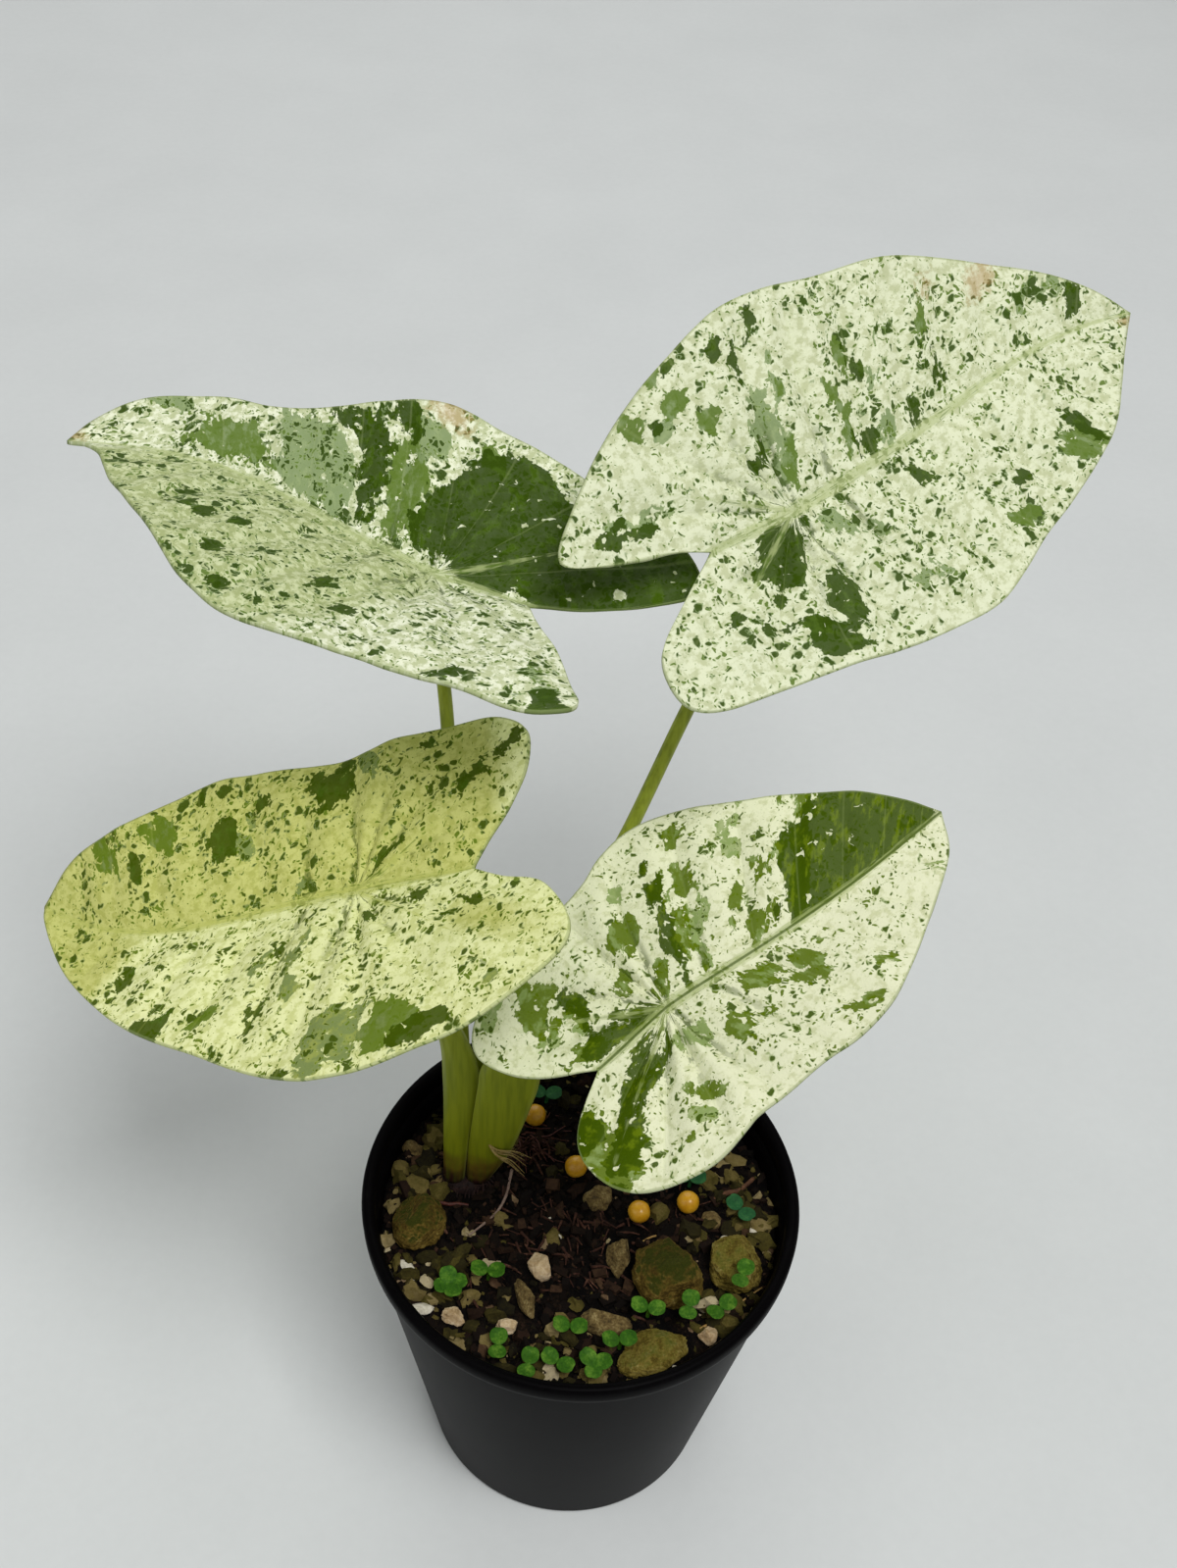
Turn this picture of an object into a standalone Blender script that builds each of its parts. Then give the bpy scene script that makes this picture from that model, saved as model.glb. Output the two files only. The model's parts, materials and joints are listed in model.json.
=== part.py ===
"""Potted alocasia: four heart-shaped leaves on stalks from one corm, in a black nursery pot with gritty soil.

Sizes are millimetres, turned into metres by MM. The origin is the middle of the pot's base, with +Z up and
-Y towards the viewer.
"""

import math

import bmesh
import bpy
from mathutils import Matrix, Vector, noise
from mathutils.bvhtree import BVHTree

MM = 0.001
GAP = 0.3  # clearance between pieces that touch

# Pot
POT_RIM_R = 45.0
POT_HEIGHT = 80.0
POT_BASE_R = 31.0
POT_FLOOR = 1.6
POT_WALL = 1.5
POT_LIP_H = 4.6
POT_LIP_OUT = 1.5  # how far the lip stands out from the wall
POT_STEPS = 48
DRAIN_HOLES = 8
DRAIN_RING_R = 21.0
DRAIN_HOLE_R = 2.6

# Soil
SOIL_TOP = 70.4
SOIL_ROUGH = 1.0
SOIL_STEPS = 48
SOIL_RINGS = (5.0, 11.0, 17.0, 23.0, 29.0, 34.5)

# Corm, which the stalks stand on
CORM_X, CORM_Y = -24.6, 8.4
CORM_R = 5.5
CORM_LOW = 60.0
CORM_TOP = 73.5
STALK_FOOT = CORM_TOP + GAP

# Leaves. Lengths run from the stalk's joint to the tip; angles are degrees, and a curl is degrees per 10 mm.
# The midrib sways to the left by the first number of "sway", ends "lean" to the left at the tip and at the
# notch between the back lobes, and margin points are given from the midrib.
BLADE_T = 0.75
RIB_T = 1.5
RAYS = 24  # parts along each half's margin
RINGS = (0.18, 0.40, 0.62, 0.82, 1.0)
MARGIN_WAVE = 0.5
MARGIN_WAVES = 9

LEAVES = {
    "back_left": {
        "joint": (-33.5, 40.0, 207.0), "yaw": 159, "pitch": 5, "roll": 8,
        "fold": (16, 22), "curl": (4.6, -1.5), "arch": (0.8, 0.8),
        "sway": (-8.0, 1.5), "lean": (-2.0, -1.0),
        "left": [(76, 0), (67.5, 7), (59, 18), (49, 27), (39, 34.5), (29.5, 39), (18, 40.5), (7, 38.5),
                 (-5, 36), (-18, 35.5), (-29, 35.5), (-36.5, 33), (-38.5, 29.5), (-35, 23.5),
                 (-29, 15), (-22, 7), (-17.5, 0)],
        "right": [(76, 0), (74, -7), (67.5, -13), (58, -15), (47, -16.5), (36.5, -21.5), (26, -27.5),
                  (13.5, -34), (1, -33.5), (-10, -30.5), (-22, -27.5), (-34, -24), (-41.5, -18.5),
                  (-44, -12.5), (-37, -7.5), (-26, -3), (-17.5, 0)],
    },
    "back_right": {
        "joint": (28.5, 48.7, 219.0), "yaw": 38, "pitch": 10, "roll": 38,
        "fold": (10, 12), "curl": (1.6, 0.5), "arch": (-0.8, 0.1),
        "sway": (3.2, 2.2), "lean": (0.0, 1.0),
        "left": [(77.5, 0), (71.5, 6.5), (63.5, 13), (55, 18.5), (45, 25), (35.5, 30), (24.5, 33),
                 (13.5, 36), (3, 36.5), (-8, 33), (-16.5, 29.5), (-26.5, 24), (-36.5, 16.5), (-42, 11),
                 (-41, 8), (-32.5, 5), (-24.5, 3.5), (-17.5, 0)],
        "right": [(77.5, 0), (71, -8.5), (62.5, -18.5), (54.5, -23.5), (45.5, -27), (37, -29),
                  (29.5, -31.5), (21.5, -33.5), (12, -32.5), (1, -30.5), (-10, -28.5), (-21.5, -27),
                  (-31.5, -25.5), (-37, -22.5), (-38, -17.5), (-35.5, -11.5), (-26.5, -5.5), (-17.5, 0)],
    },
    "front_left": {
        "joint": (-44.0, 5.0, 162.0), "yaw": 168, "pitch": -26, "roll": -2,
        "fold": (2, 40), "curl": (5.0, 10.0), "arch": (-1.6, 0.1),
        "sway": (6.8, 1.4), "lean": (1.0, -2.0),
        "left": [(67.5, 0), (65, 3.5), (56.5, 11), (46, 17), (34, 23.5), (21, 30), (9.5, 36), (0, 39),
                 (-10, 38.5), (-20.5, 36), (-29.5, 33.5), (-37.5, 29), (-43.5, 23.5), (-46, 18.5),
                 (-44, 12.5), (-38, 6), (-30, 3.5), (-23.5, 0)],
        "right": [(67.5, 0), (62, -11.5), (53, -18.5), (44.5, -24.5), (34.5, -28.5), (23, -28),
                  (12.5, -27.5), (2, -27), (-8, -28), (-19, -29), (-27.5, -28), (-33, -23.5),
                  (-33.5, -16), (-30.5, -10), (-26.5, -5), (-23.5, 0)],
    },
    "front_right": {
        "joint": (12.5, -7.0, 150.0), "yaw": 34, "pitch": 26, "roll": 8,
        "fold": (8, 4), "curl": (5.2, -3.5), "arch": (2.6, 1.3),
        "sway": (-2.3, 1.1), "lean": (0.0, -1.5),
        "left": [(62.5, 0), (58.5, 6.5), (52, 14), (43, 21), (34, 26.5), (25, 32), (16, 34), (8, 32.5),
                 (0, 29), (-10, 28.5), (-20, 27), (-29, 23), (-32.5, 18), (-30.5, 12), (-25.5, 6),
                 (-16.5, 0)],
        "right": [(62.5, 0), (58, -7), (49, -13), (40.5, -18), (31, -23), (22, -25.5), (12, -26),
                  (3, -27), (-7, -29), (-16, -27), (-23, -23), (-27, -17.5), (-28, -10.5), (-25, -5),
                  (-16.5, 0)],
    },
}

# Stalks: (x, y, z) and the half widths across and deep. Each starts on the corm and ends under its blade.
STALKS = {
    "back_left": [((-26.9, 10.6, 73.8), 2.1, 2.1), ((-25.9, 11.1, 88), 2, 1.6),
                  ((-26.3, 12.6, 104), 2.2, 1.7), ((-27.2, 18, 124), 1.7, 1.6),
                  ((-28.7, 25, 150), 1.4, 1.4), ((-30.4, 33.5, 177), 1.3, 1.3)],
    "back_right": [((-22.3, 10.6, 73.8), 2.1, 2.1), ((-20.4, 10.4, 88), 2.7, 1.7),
                   ((-19, 10.8, 104), 3, 1.6), ((-9.2, 19.5, 123), 1.8, 1.6),
                   ((-2.6, 26, 139), 1.5, 1.5), ((4.4, 32, 154.6), 1.4, 1.4),
                   ((13.1, 40, 178), 1.35, 1.35), ((21.6, 45.3, 201), 1.3, 1.3)],
    "front_left": [((-26.9, 6.2, 73.8), 2.1, 1.8), ((-26.4, 7, 88), 2.6, 1.5),
                   ((-25.9, 7.8, 104), 3.2, 1.5), ((-28, 8.2, 118), 2, 1.5),
                   ((-32.5, 7.4, 133), 1.5, 1.4), ((-38, 6.2, 148), 1.35, 1.3)],
    "front_right": [((-22.1, 6.3, 73.8), 2.1, 1.8), ((-17.8, 6, 86), 3, 1.5),
                    ((-13.7, 5.3, 106), 3.6, 1.5), ((-8, 3.5, 118), 2.4, 1.6),
                    ((-1.5, 0.5, 129), 1.6, 1.4), ((5.5, -3, 140), 1.35, 1.3)],
}
STALK_SIDES = 12
STALK_STEPS = 3

# Stones: position, half sizes, turn about Z in degrees, fineness and material
STONES = {
    "stone_mossy_large": ((18.7, -14.1, 73.5), (7.2, 8.2, 6.0), 20, 3, "moss_stone"),
    "stone_mossy_left": ((-33.0, -5.3, 72.5), (5.4, 6.6, 4.8), 0, 3, "moss_stone"),
    "stone_mossy_right": ((32.2, -10.3, 72.8), (6.0, 6.2, 4.4), 0, 3, "moss_stone"),
    "stone_mossy_flat": ((16.4, -30.2, 71.0), (8.2, 5.0, 3.2), 28, 3, "moss_stone"),
    "stone_brown_mid": ((8.6, -9.6, 71.6), (2.8, 4.8, 3.4), 0, 2, "brown_stone"),
    "stone_brown_front": ((6.6, -24.6, 71.0), (5.4, 3.6, 2.6), -8, 2, "brown_stone"),
    "stone_chip_long": ((-9.9, -20.6, 71.4), (2.0, 5.2, 2.2), 30, 2, "brown_stone"),
    "stone_beige": ((-7.5, -13.2, 72.0), (2.7, 3.4, 2.5), 25, 2, "pale_stone"),
    "pebble_cream_right": ((26.8, -26.4, 71.8), (2.3, 2.1, 2.0), 0, 2, "pale_stone"),
    "pebble_cream_left": ((-24.2, -25.8, 71.8), (2.8, 2.1, 1.8), -15, 2, "pale_stone"),
    "pebble_cream_mid": ((-13.4, -27.2, 71.4), (2.8, 1.7, 1.7), 10, 2, "pale_stone"),
}
STONE_ROUGH = 0.14

BEAD_R = 2.4
BEADS = [(-1.4, 10.3), (12.3, 0.6), (22.5, 3.8), (-10.9, 23.0)]

# Seedlings: position, turn in degrees, number of round seed leaves
SEEDLINGS = [
    (-25.1, -20.0, 20, 4), (-17.8, -16.6, 0, 2), (-14.6, -32.4, 90, 2), (-8.4, -36.0, 80, 2),
    (-2.6, -35.4, -25, 2), (-0.6, -27.8, 0, 2), (4.6, -35.8, 20, 3), (9.2, -30.6, 10, 2),
    (14.6, -23.6, -5, 2), (22.6, -23.4, 80, 2), (29.4, -21.4, 45, 2), (33.2, -16.2, 70, 2),
    (33.4, 1.8, -45, 2), (22.8, 9.2, 0, 2), (-8.8, 28.4, 0, 2),
]
SEED_LEAF_R = 2.1
SEED_LEAF_T = 0.8
SEED_STEM_R = 0.5
SEED_STEM_H = 3.4

TWIG_ENDS = ((27.6, 5.4), (37.0, 11.4))
TWIG_R = 0.55


def clear_scene():
    for obj in list(bpy.data.objects):
        bpy.data.objects.remove(obj, do_unlink=True)


def new_collection(name):
    collection = bpy.data.collections.new(name)
    bpy.context.scene.collection.children.link(collection)
    return collection


def principled(name, rgb, roughness, specular=0.5):
    material = bpy.data.materials.new(name)
    material.use_nodes = True
    shader = material.node_tree.nodes["Principled BSDF"]
    shader.inputs["Base Color"].default_value = (*rgb, 1.0)
    shader.inputs["Roughness"].default_value = roughness
    shader.inputs["Metallic"].default_value = 0.0
    shader.inputs["Specular IOR Level"].default_value = specular
    material.diffuse_color = (*rgb, 1.0)
    return material


def object_from_bmesh(bm, name, collection, material=None, smooth=True):
    """A mesh object made from a bmesh in millimetres."""
    bmesh.ops.scale(bm, vec=(MM, MM, MM), verts=bm.verts)
    bmesh.ops.recalc_face_normals(bm, faces=bm.faces)
    mesh = bpy.data.meshes.new(name)
    bm.to_mesh(mesh)
    bm.free()
    if material:
        mesh.materials.append(material)
    if smooth:
        mesh.shade_smooth()
        mesh.set_sharp_from_angle(angle=math.radians(40))
    obj = bpy.data.objects.new(name, mesh)
    collection.objects.link(obj)
    return obj


def curve_through(points, steps):
    """Points of a Catmull-Rom curve through the given ones, with this many parts between each two."""
    given = [Vector(p) for p in points]
    line = [given[0] * 2 - given[1]] + given + [given[-1] * 2 - given[-2]]
    out = []
    for i in range(1, len(line) - 2):
        p0, p1, p2, p3 = line[i - 1:i + 3]
        for s in range(steps):
            t = s / steps
            out.append(0.5 * (2 * p1 + (p2 - p0) * t + (2 * p0 - 5 * p1 + 4 * p2 - p3) * t * t
                              + (3 * p1 - p0 - 3 * p2 + p3) * t ** 3))
    out.append(given[-1])
    return out


def evenly(points, parts):
    """The same line as points an equal length apart."""
    lengths = [0.0]
    for a, b in zip(points, points[1:]):
        lengths.append(lengths[-1] + (b - a).length)
    out = []
    i = 0
    for k in range(parts + 1):
        want = lengths[-1] * k / parts
        while i < len(points) - 2 and lengths[i + 1] < want:
            i += 1
        span = max(lengths[i + 1] - lengths[i], 1e-9)
        out.append(points[i].lerp(points[i + 1], min(1.0, (want - lengths[i]) / span)))
    return out


def turned(name, profile, steps, collection, material=None):
    """A solid of revolution about Z from an (r, z) profile that runs down its outer side."""
    mesh = bpy.data.meshes.new(name)
    verts = [(r * MM, 0.0, z * MM) for r, z in profile]
    mesh.from_pydata(verts, [(i, i + 1) for i in range(len(verts) - 1)], [])
    if material:
        mesh.materials.append(material)
    obj = bpy.data.objects.new(name, mesh)
    collection.objects.link(obj)
    screw = obj.modifiers.new("Turn", "SCREW")
    screw.axis = "Z"
    screw.angle = math.tau
    screw.steps = steps
    screw.render_steps = steps
    screw.use_merge_vertices = True
    screw.merge_threshold = 0.00001
    screw.use_smooth_shade = True
    return obj


def evaluated_mesh(obj):
    bpy.context.view_layer.update()
    graph = bpy.context.evaluated_depsgraph_get()
    return bpy.data.meshes.new_from_object(obj.evaluated_get(graph))


def cut(obj, cutters, name="Cut"):
    """Takes every object of a collection out of this one."""
    modifier = obj.modifiers.new(name, "BOOLEAN")
    modifier.operation = "DIFFERENCE"
    modifier.operand_type = "COLLECTION"
    modifier.collection = cutters
    modifier.solver = "EXACT"
    return modifier


def apply_all(obj):
    """Replaces an object's mesh by its evaluated one, with no modifiers left."""
    mesh = evaluated_mesh(obj)
    obj.modifiers.clear()
    obj.data = mesh
    return obj


def as_cutter(obj):
    obj.hide_render = True
    obj.display_type = "WIRE"
    return obj


def wall_inner_r(z):
    """Radius of the pot's inner wall at height z."""
    low, high = POT_FLOOR, POT_HEIGHT - POT_LIP_H - 1.5
    low_r = POT_BASE_R - POT_WALL - 0.3
    high_r = POT_RIM_R - POT_LIP_OUT - POT_WALL - 0.2
    return low_r + (high_r - low_r) * (z - low) / (high - low)


def build_pot(parts, cutters, material):
    lip_low = POT_HEIGHT - POT_LIP_H
    wall_top_r = POT_RIM_R - POT_LIP_OUT
    step_z = lip_low - 1.5
    profile = [
        (0.0, POT_FLOOR), (wall_inner_r(POT_FLOOR), POT_FLOOR), (wall_inner_r(step_z), step_z),
        (wall_inner_r(step_z) + 0.8, step_z + 0.8), (POT_RIM_R - 2.4, POT_HEIGHT - 0.7),
        (POT_RIM_R - 2.0, POT_HEIGHT - 0.1), (POT_RIM_R - 1.2, POT_HEIGHT),
        (POT_RIM_R - 0.3, POT_HEIGHT - 0.3), (POT_RIM_R, POT_HEIGHT - 1.1),
        (POT_RIM_R - 0.3, lip_low + 0.3), (POT_RIM_R - 0.8, lip_low), (wall_top_r, lip_low - 0.1),
        (POT_BASE_R + 0.2, 1.2), (POT_BASE_R - 0.3, 0.3), (POT_BASE_R - 1.0, 0.0), (0.0, 0.0),
    ]
    pot = turned("pot", profile, POT_STEPS, parts, material)
    for i in range(DRAIN_HOLES):
        turn = math.tau * (i + 0.5) / DRAIN_HOLES
        bm = bmesh.new()
        bmesh.ops.create_cone(bm, cap_ends=True, segments=16, radius1=DRAIN_HOLE_R, radius2=DRAIN_HOLE_R,
                              depth=8.0)
        hole = as_cutter(object_from_bmesh(bm, f"drain_cutter_{i}", cutters, smooth=False))
        hole.location = (DRAIN_RING_R * math.cos(turn) * MM, DRAIN_RING_R * math.sin(turn) * MM, 0.8 * MM)
    cut(pot, cutters)
    return pot


def soil_height(x, y):
    """Height of the soil's top: gritty lumps, a little higher round the plant."""
    lumps = noise.noise(Vector((x, y, 0)) * 0.16) * SOIL_ROUGH + noise.noise(Vector((x, y, 9)) * 0.4) * 0.6
    near_plant = math.hypot(x - CORM_X, y - CORM_Y)
    return SOIL_TOP + lumps + 1.0 * math.exp(-((near_plant / 14.0) ** 2))


def build_soil(parts, cutters, material):
    side = GAP + 0.1
    top_r = wall_inner_r(SOIL_TOP) - side - 0.1
    low = POT_FLOOR + GAP
    low_r = wall_inner_r(low) - side
    profile = [(0.0, SOIL_TOP)] + [(r, SOIL_TOP) for r in SOIL_RINGS]
    profile += [(top_r, SOIL_TOP), (low_r, low), (0.0, low)]
    soil = apply_all(turned("soil", profile, SOIL_STEPS, parts, material))
    for vertex in soil.data.vertices:
        x, y, z = (v / MM for v in vertex.co)
        if z < SOIL_TOP - 1:
            continue
        if math.hypot(x, y) > top_r - 1.0:
            vertex.co.z = (SOIL_TOP - 0.3 + 0.3 * noise.noise(Vector((x, y, 3)) * 0.5)) * MM
        else:
            vertex.co.z = soil_height(x, y) * MM
    cut(soil, cutters, "Pockets")
    return apply_all(soil)


def corm_profile(grow):
    return [
        (0.0, CORM_TOP + grow * 8), (CORM_R - 0.9 + grow, CORM_TOP + grow * 8),
        (CORM_R - 0.3 + grow, CORM_TOP - 0.8), (CORM_R + grow, CORM_TOP - 3.0),
        (CORM_R - 0.6 + grow, CORM_LOW + 4.0), (CORM_R - 2.6 + grow, CORM_LOW + 0.6 - grow),
        (0.0, CORM_LOW - grow),
    ]


def build_corm(parts, cutters, material):
    corm = turned("corm", corm_profile(0.0), 16, parts, material)
    corm.location = (CORM_X * MM, CORM_Y * MM, 0)
    well = as_cutter(apply_all(turned("corm_cutter", corm_profile(GAP + 0.15), 16, cutters)))
    well.location = corm.location
    return corm


def stone_bmesh(half, fineness, seed, grow=0.0):
    """A rough pebble: an icosphere pushed in and out by noise, grown by a clearance for its pocket."""
    bm = bmesh.new()
    bmesh.ops.create_icosphere(bm, subdivisions=fineness, radius=1.0)
    for vertex in bm.verts:
        lump = 1.0 + STONE_ROUGH * noise.noise(vertex.co * 1.6 + Vector((seed * 3.7, 0, 0)))
        vertex.co *= lump
        for axis in range(3):
            vertex.co[axis] *= half[axis] + grow
    return bm


def build_stones(parts, cutters, materials):
    stones = []
    for seed, (name, (at, half, turn, fineness, slot)) in enumerate(STONES.items()):
        stone = object_from_bmesh(stone_bmesh(half, fineness, seed), name, parts, materials[slot])
        pocket = object_from_bmesh(stone_bmesh(half, fineness, seed, GAP + 0.15), name + "_cutter", cutters)
        for obj in (stone, pocket):
            obj.location = Vector(at) * MM
            obj.rotation_euler = (0, 0, math.radians(turn))
        as_cutter(pocket)
        stones.append(stone)
    return stones


def leaf_matrix(leaf):
    """The leaf's frame in the world: x to the tip, y to its left half, z out of its upper face."""
    turn = (Matrix.Rotation(math.radians(leaf["yaw"]), 4, "Z")
            @ Matrix.Rotation(-math.radians(leaf["pitch"]), 4, "Y")
            @ Matrix.Rotation(math.radians(leaf["roll"]), 4, "X"))
    return Matrix.Translation(Vector(leaf["joint"])) @ turn


def midrib_y(leaf, x):
    """How far the midrib lies to the left of the straight line through the joint."""
    if x <= 0:
        return leaf["lean"][1] * x / leaf["left"][-1][0]
    sway, power = leaf["sway"]
    reach = min(1.0, x / leaf["left"][0][0])
    return sway * math.sin(math.pi * reach ** power) + leaf["lean"][0] * reach ** 2


def on_leaf(leaf, x, y):
    """Where a point of the flat leaf lies once each half is folded up and curled, and the midrib arched."""
    half = 0 if y >= 0 else 1
    side = 1 if y >= 0 else -1
    fold = math.radians(leaf["fold"][half])
    curl = math.radians(leaf["curl"][half]) / 10
    across = (math.sin(fold) - math.sin(fold - curl * abs(y))) / curl
    lift = (math.cos(fold - curl * abs(y)) - math.cos(fold)) / curl
    arch = math.radians(leaf["arch"][0] if x > 0 else -leaf["arch"][1]) / 10
    along = arch * x
    return Vector((
        math.sin(along) / arch + math.sin(along) * lift,
        midrib_y(leaf, x) + side * across,
        (math.cos(along) - 1) / arch + math.cos(along) * lift,
    ))


def build_blade(name, leaf, parts, material):
    """A heart-shaped blade with its two back lobes, thicker along the midrib's underside."""
    left = evenly(curve_through(leaf["left"], 6), RAYS)
    right = evenly(curve_through(leaf["right"], 6), RAYS)
    margin = left + right[-2:0:-1]
    count = len(margin)
    bm = bmesh.new()
    weights = []
    centre = bm.verts.new(on_leaf(leaf, 0.0, 0.0))
    weights.append(1.0)
    rings = []
    for ring in RINGS:
        row = []
        for i, point in enumerate(margin):
            spot = on_leaf(leaf, point.x * ring, point.y * ring)
            spot.z += MARGIN_WAVE * math.sin(math.tau * MARGIN_WAVES * i / count) * ring ** 5
            row.append(bm.verts.new(spot))
            on_rib = i == 0 or i == RAYS
            weights.append(1.0 - ring if on_rib else 0.0)
        rings.append(row)
    for i in range(count):
        j = (i + 1) % count
        bm.faces.new((centre, rings[0][i], rings[0][j]))
        for inner, outer in zip(rings, rings[1:]):
            bm.faces.new((inner[i], outer[i], outer[j], inner[j]))
    bmesh.ops.triangulate(bm, faces=bm.faces, quad_method="FIXED")
    blade = object_from_bmesh(bm, name, parts, material)
    if blade.data.polygons[0].normal.z < 0:
        blade.data.flip_normals()
    rib = blade.vertex_groups.new(name="rib")
    for index, weight in enumerate(weights):
        rib.add([index], weight, "REPLACE")
    solid = blade.modifiers.new("Thickness", "SOLIDIFY")
    solid.thickness = RIB_T * MM
    solid.offset = -1
    solid.vertex_group = "rib"
    solid.thickness_vertex_group = BLADE_T / RIB_T
    place = leaf_matrix(leaf)
    place.translation *= MM
    blade.matrix_world = place
    return blade


def shear_to(ring, direction, point, normal):
    """Moves a ring's points along the stalk's direction onto a plane."""
    return [p + direction * ((point - p).dot(normal) / direction.dot(normal)) for p in ring]


def build_stalk(name, leaf, stations, parts, material):
    """A leaf stalk: a flattened sheath on the corm that narrows to a round stem under the blade."""
    place = leaf_matrix(leaf)
    tilt = math.radians(leaf["fold"][1] - leaf["fold"][0]) / 2
    out_of_blade = (place.to_3x3() @ Vector((0, math.sin(tilt), math.cos(tilt)))).normalized()
    top = place.translation - out_of_blade * (RIB_T + GAP + 0.15)
    path = curve_through([s[0] for s in stations] + [top], STALK_STEPS)
    sizes = curve_through([s[1:] for s in stations] + [(1.25, 1.25)], STALK_STEPS)
    bm = bmesh.new()
    rows = []
    for i, (spot, size) in enumerate(zip(path, sizes)):
        ahead = (path[min(i + 1, len(path) - 1)] - path[max(i - 1, 0)]).normalized()
        across = (Vector((1, 0, 0)) - ahead * ahead.x).normalized()
        deep = ahead.cross(across)
        ring = []
        for k in range(STALK_SIDES):
            turn = math.tau * k / STALK_SIDES
            ring.append(spot + across * size.x * math.cos(turn) + deep * size.y * math.sin(turn))
        if i == 0:
            ring = shear_to(ring, ahead, Vector((0, 0, STALK_FOOT)), Vector((0, 0, 1)))
        if i == len(path) - 1:
            ring = shear_to(ring, ahead, top, out_of_blade)
        rows.append([bm.verts.new(p) for p in ring])
    for low, high in zip(rows, rows[1:]):
        for k in range(STALK_SIDES):
            j = (k + 1) % STALK_SIDES
            bm.faces.new((low[k], low[j], high[j], high[k]))
    bm.faces.new(rows[0][::-1])
    bm.faces.new(rows[-1])
    return object_from_bmesh(bm, name, parts, material)


def ground_tree(objects):
    """One search tree in millimetres over the tops of these objects."""
    verts = []
    faces = []
    for obj in objects:
        mesh = evaluated_mesh(obj)
        start = len(verts)
        verts += [obj.matrix_world @ v.co / MM for v in mesh.vertices]
        faces += [[start + i for i in polygon.vertices] for polygon in mesh.polygons]
        bpy.data.meshes.remove(mesh)
    return BVHTree.FromPolygons(verts, faces)


def ground_at(tree, x, y):
    spot = tree.ray_cast(Vector((x, y, 110.0)), Vector((0, 0, -1)))[0]
    return spot.z if spot else 0.0


def rest_height(tree, x, y, points, clearance, start=-5.0):
    """The lowest height at which all the points, given from a centre, keep this far from what is laid."""
    height = ground_at(tree, x, y) + start
    while any(ground_at(tree, x + p.x, y + p.y) > height + p.z for p in points) or min(
            tree.find_nearest(Vector((x, y, height)) + p)[3] for p in points) < clearance:
        height += 0.04
    return height


def build_beads(laid, parts, material):
    """Round beads of slow feed that lie on the soil."""
    tree = ground_tree(laid)
    centre = [Vector((0, 0, 0))]
    for i, (x, y) in enumerate(BEADS, 1):
        bm = bmesh.new()
        bmesh.ops.create_uvsphere(bm, u_segments=12, v_segments=8, radius=BEAD_R)
        bead = object_from_bmesh(bm, f"feed_bead_{i}", parts, material)
        height = rest_height(tree, x, y, centre, BEAD_R + GAP)
        bead.location = (x * MM, y * MM, height * MM)
        laid.append(bead)


def seed_leaf(reach, turn, tilt):
    """A round, thin seed leaf that stands off the stem's head."""
    bm = bmesh.new()
    bmesh.ops.create_cone(bm, cap_ends=True, segments=12, radius1=SEED_LEAF_R, radius2=SEED_LEAF_R,
                          depth=SEED_LEAF_T)
    place = Matrix.Rotation(turn, 4, "Z") @ Matrix.Rotation(-tilt, 4, "Y") @ Matrix.Translation((reach, 0, 0))
    bmesh.ops.transform(bm, matrix=Matrix.Translation((0, 0, SEED_STEM_H)) @ place, verts=bm.verts)
    return bm


def build_seedlings(laid, parts, material):
    """Tiny seedlings: a thin stem with a pair, or two pairs, of round seed leaves joined to it."""
    for i, (x, y, turn, leaves) in enumerate(SEEDLINGS, 1):
        joined = bpy.data.collections.new(f"seedling_{i}_parts")
        stem = bmesh.new()
        bmesh.ops.create_cone(stem, cap_ends=True, segments=8, radius1=SEED_STEM_R, radius2=SEED_STEM_R,
                              depth=SEED_STEM_H)
        bmesh.ops.translate(stem, vec=(0, 0, SEED_STEM_H / 2 + 0.2), verts=stem.verts)
        seedling = object_from_bmesh(stem, f"seedling_{i:02d}", parts, material)
        for k in range(leaves):
            spread = math.tau * k / leaves + math.radians(turn)
            raised = math.radians(8 if k % 2 == 0 else 15)
            leaf = seed_leaf(SEED_LEAF_R - 0.15 + 0.3 * (k % 2), spread, raised)
            as_cutter(object_from_bmesh(leaf, "leaflet", joined))
        union = seedling.modifiers.new("Join", "BOOLEAN")
        union.operation = "UNION"
        union.operand_type = "COLLECTION"
        union.collection = joined
        union.solver = "EXACT"
        apply_all(seedling)
        for piece in list(joined.objects):
            bpy.data.objects.remove(piece, do_unlink=True)
        bpy.data.collections.remove(joined)
        tree = ground_tree(laid)
        points = [v.co / MM for v in seedling.data.vertices]
        seedling.location = (x * MM, y * MM, rest_height(tree, x, y, points, GAP, -1.5) * MM)
        laid.append(seedling)


def build_twig(laid, parts, material):
    """A thin bit of bark that lies on the soil."""
    start, end = (Vector((*p, 0.0)) for p in TWIG_ENDS)
    middle = (start + end) / 2
    steps = 6
    line = []
    for i in range(steps + 1):
        t = i / steps
        line.append(start.lerp(end, t) - middle + Vector((0.5 * math.sin(5 * t), 0.6 * math.sin(7 * t), 0)))
    curve = bpy.data.curves.new("twig", "CURVE")
    curve.dimensions = "3D"
    curve.bevel_depth = TWIG_R * MM
    curve.bevel_resolution = 1
    curve.use_fill_caps = True
    spline = curve.splines.new("POLY")
    spline.points.add(len(line) - 1)
    for point, spot in zip(spline.points, line):
        point.co = (*(spot * MM), 1.0)
    curve.materials.append(material)
    twig = bpy.data.objects.new("twig", curve)
    parts.objects.link(twig)
    height = rest_height(ground_tree(laid), middle.x, middle.y, line, TWIG_R + GAP)
    twig.location = (middle.x * MM, middle.y * MM, height * MM)


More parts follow.
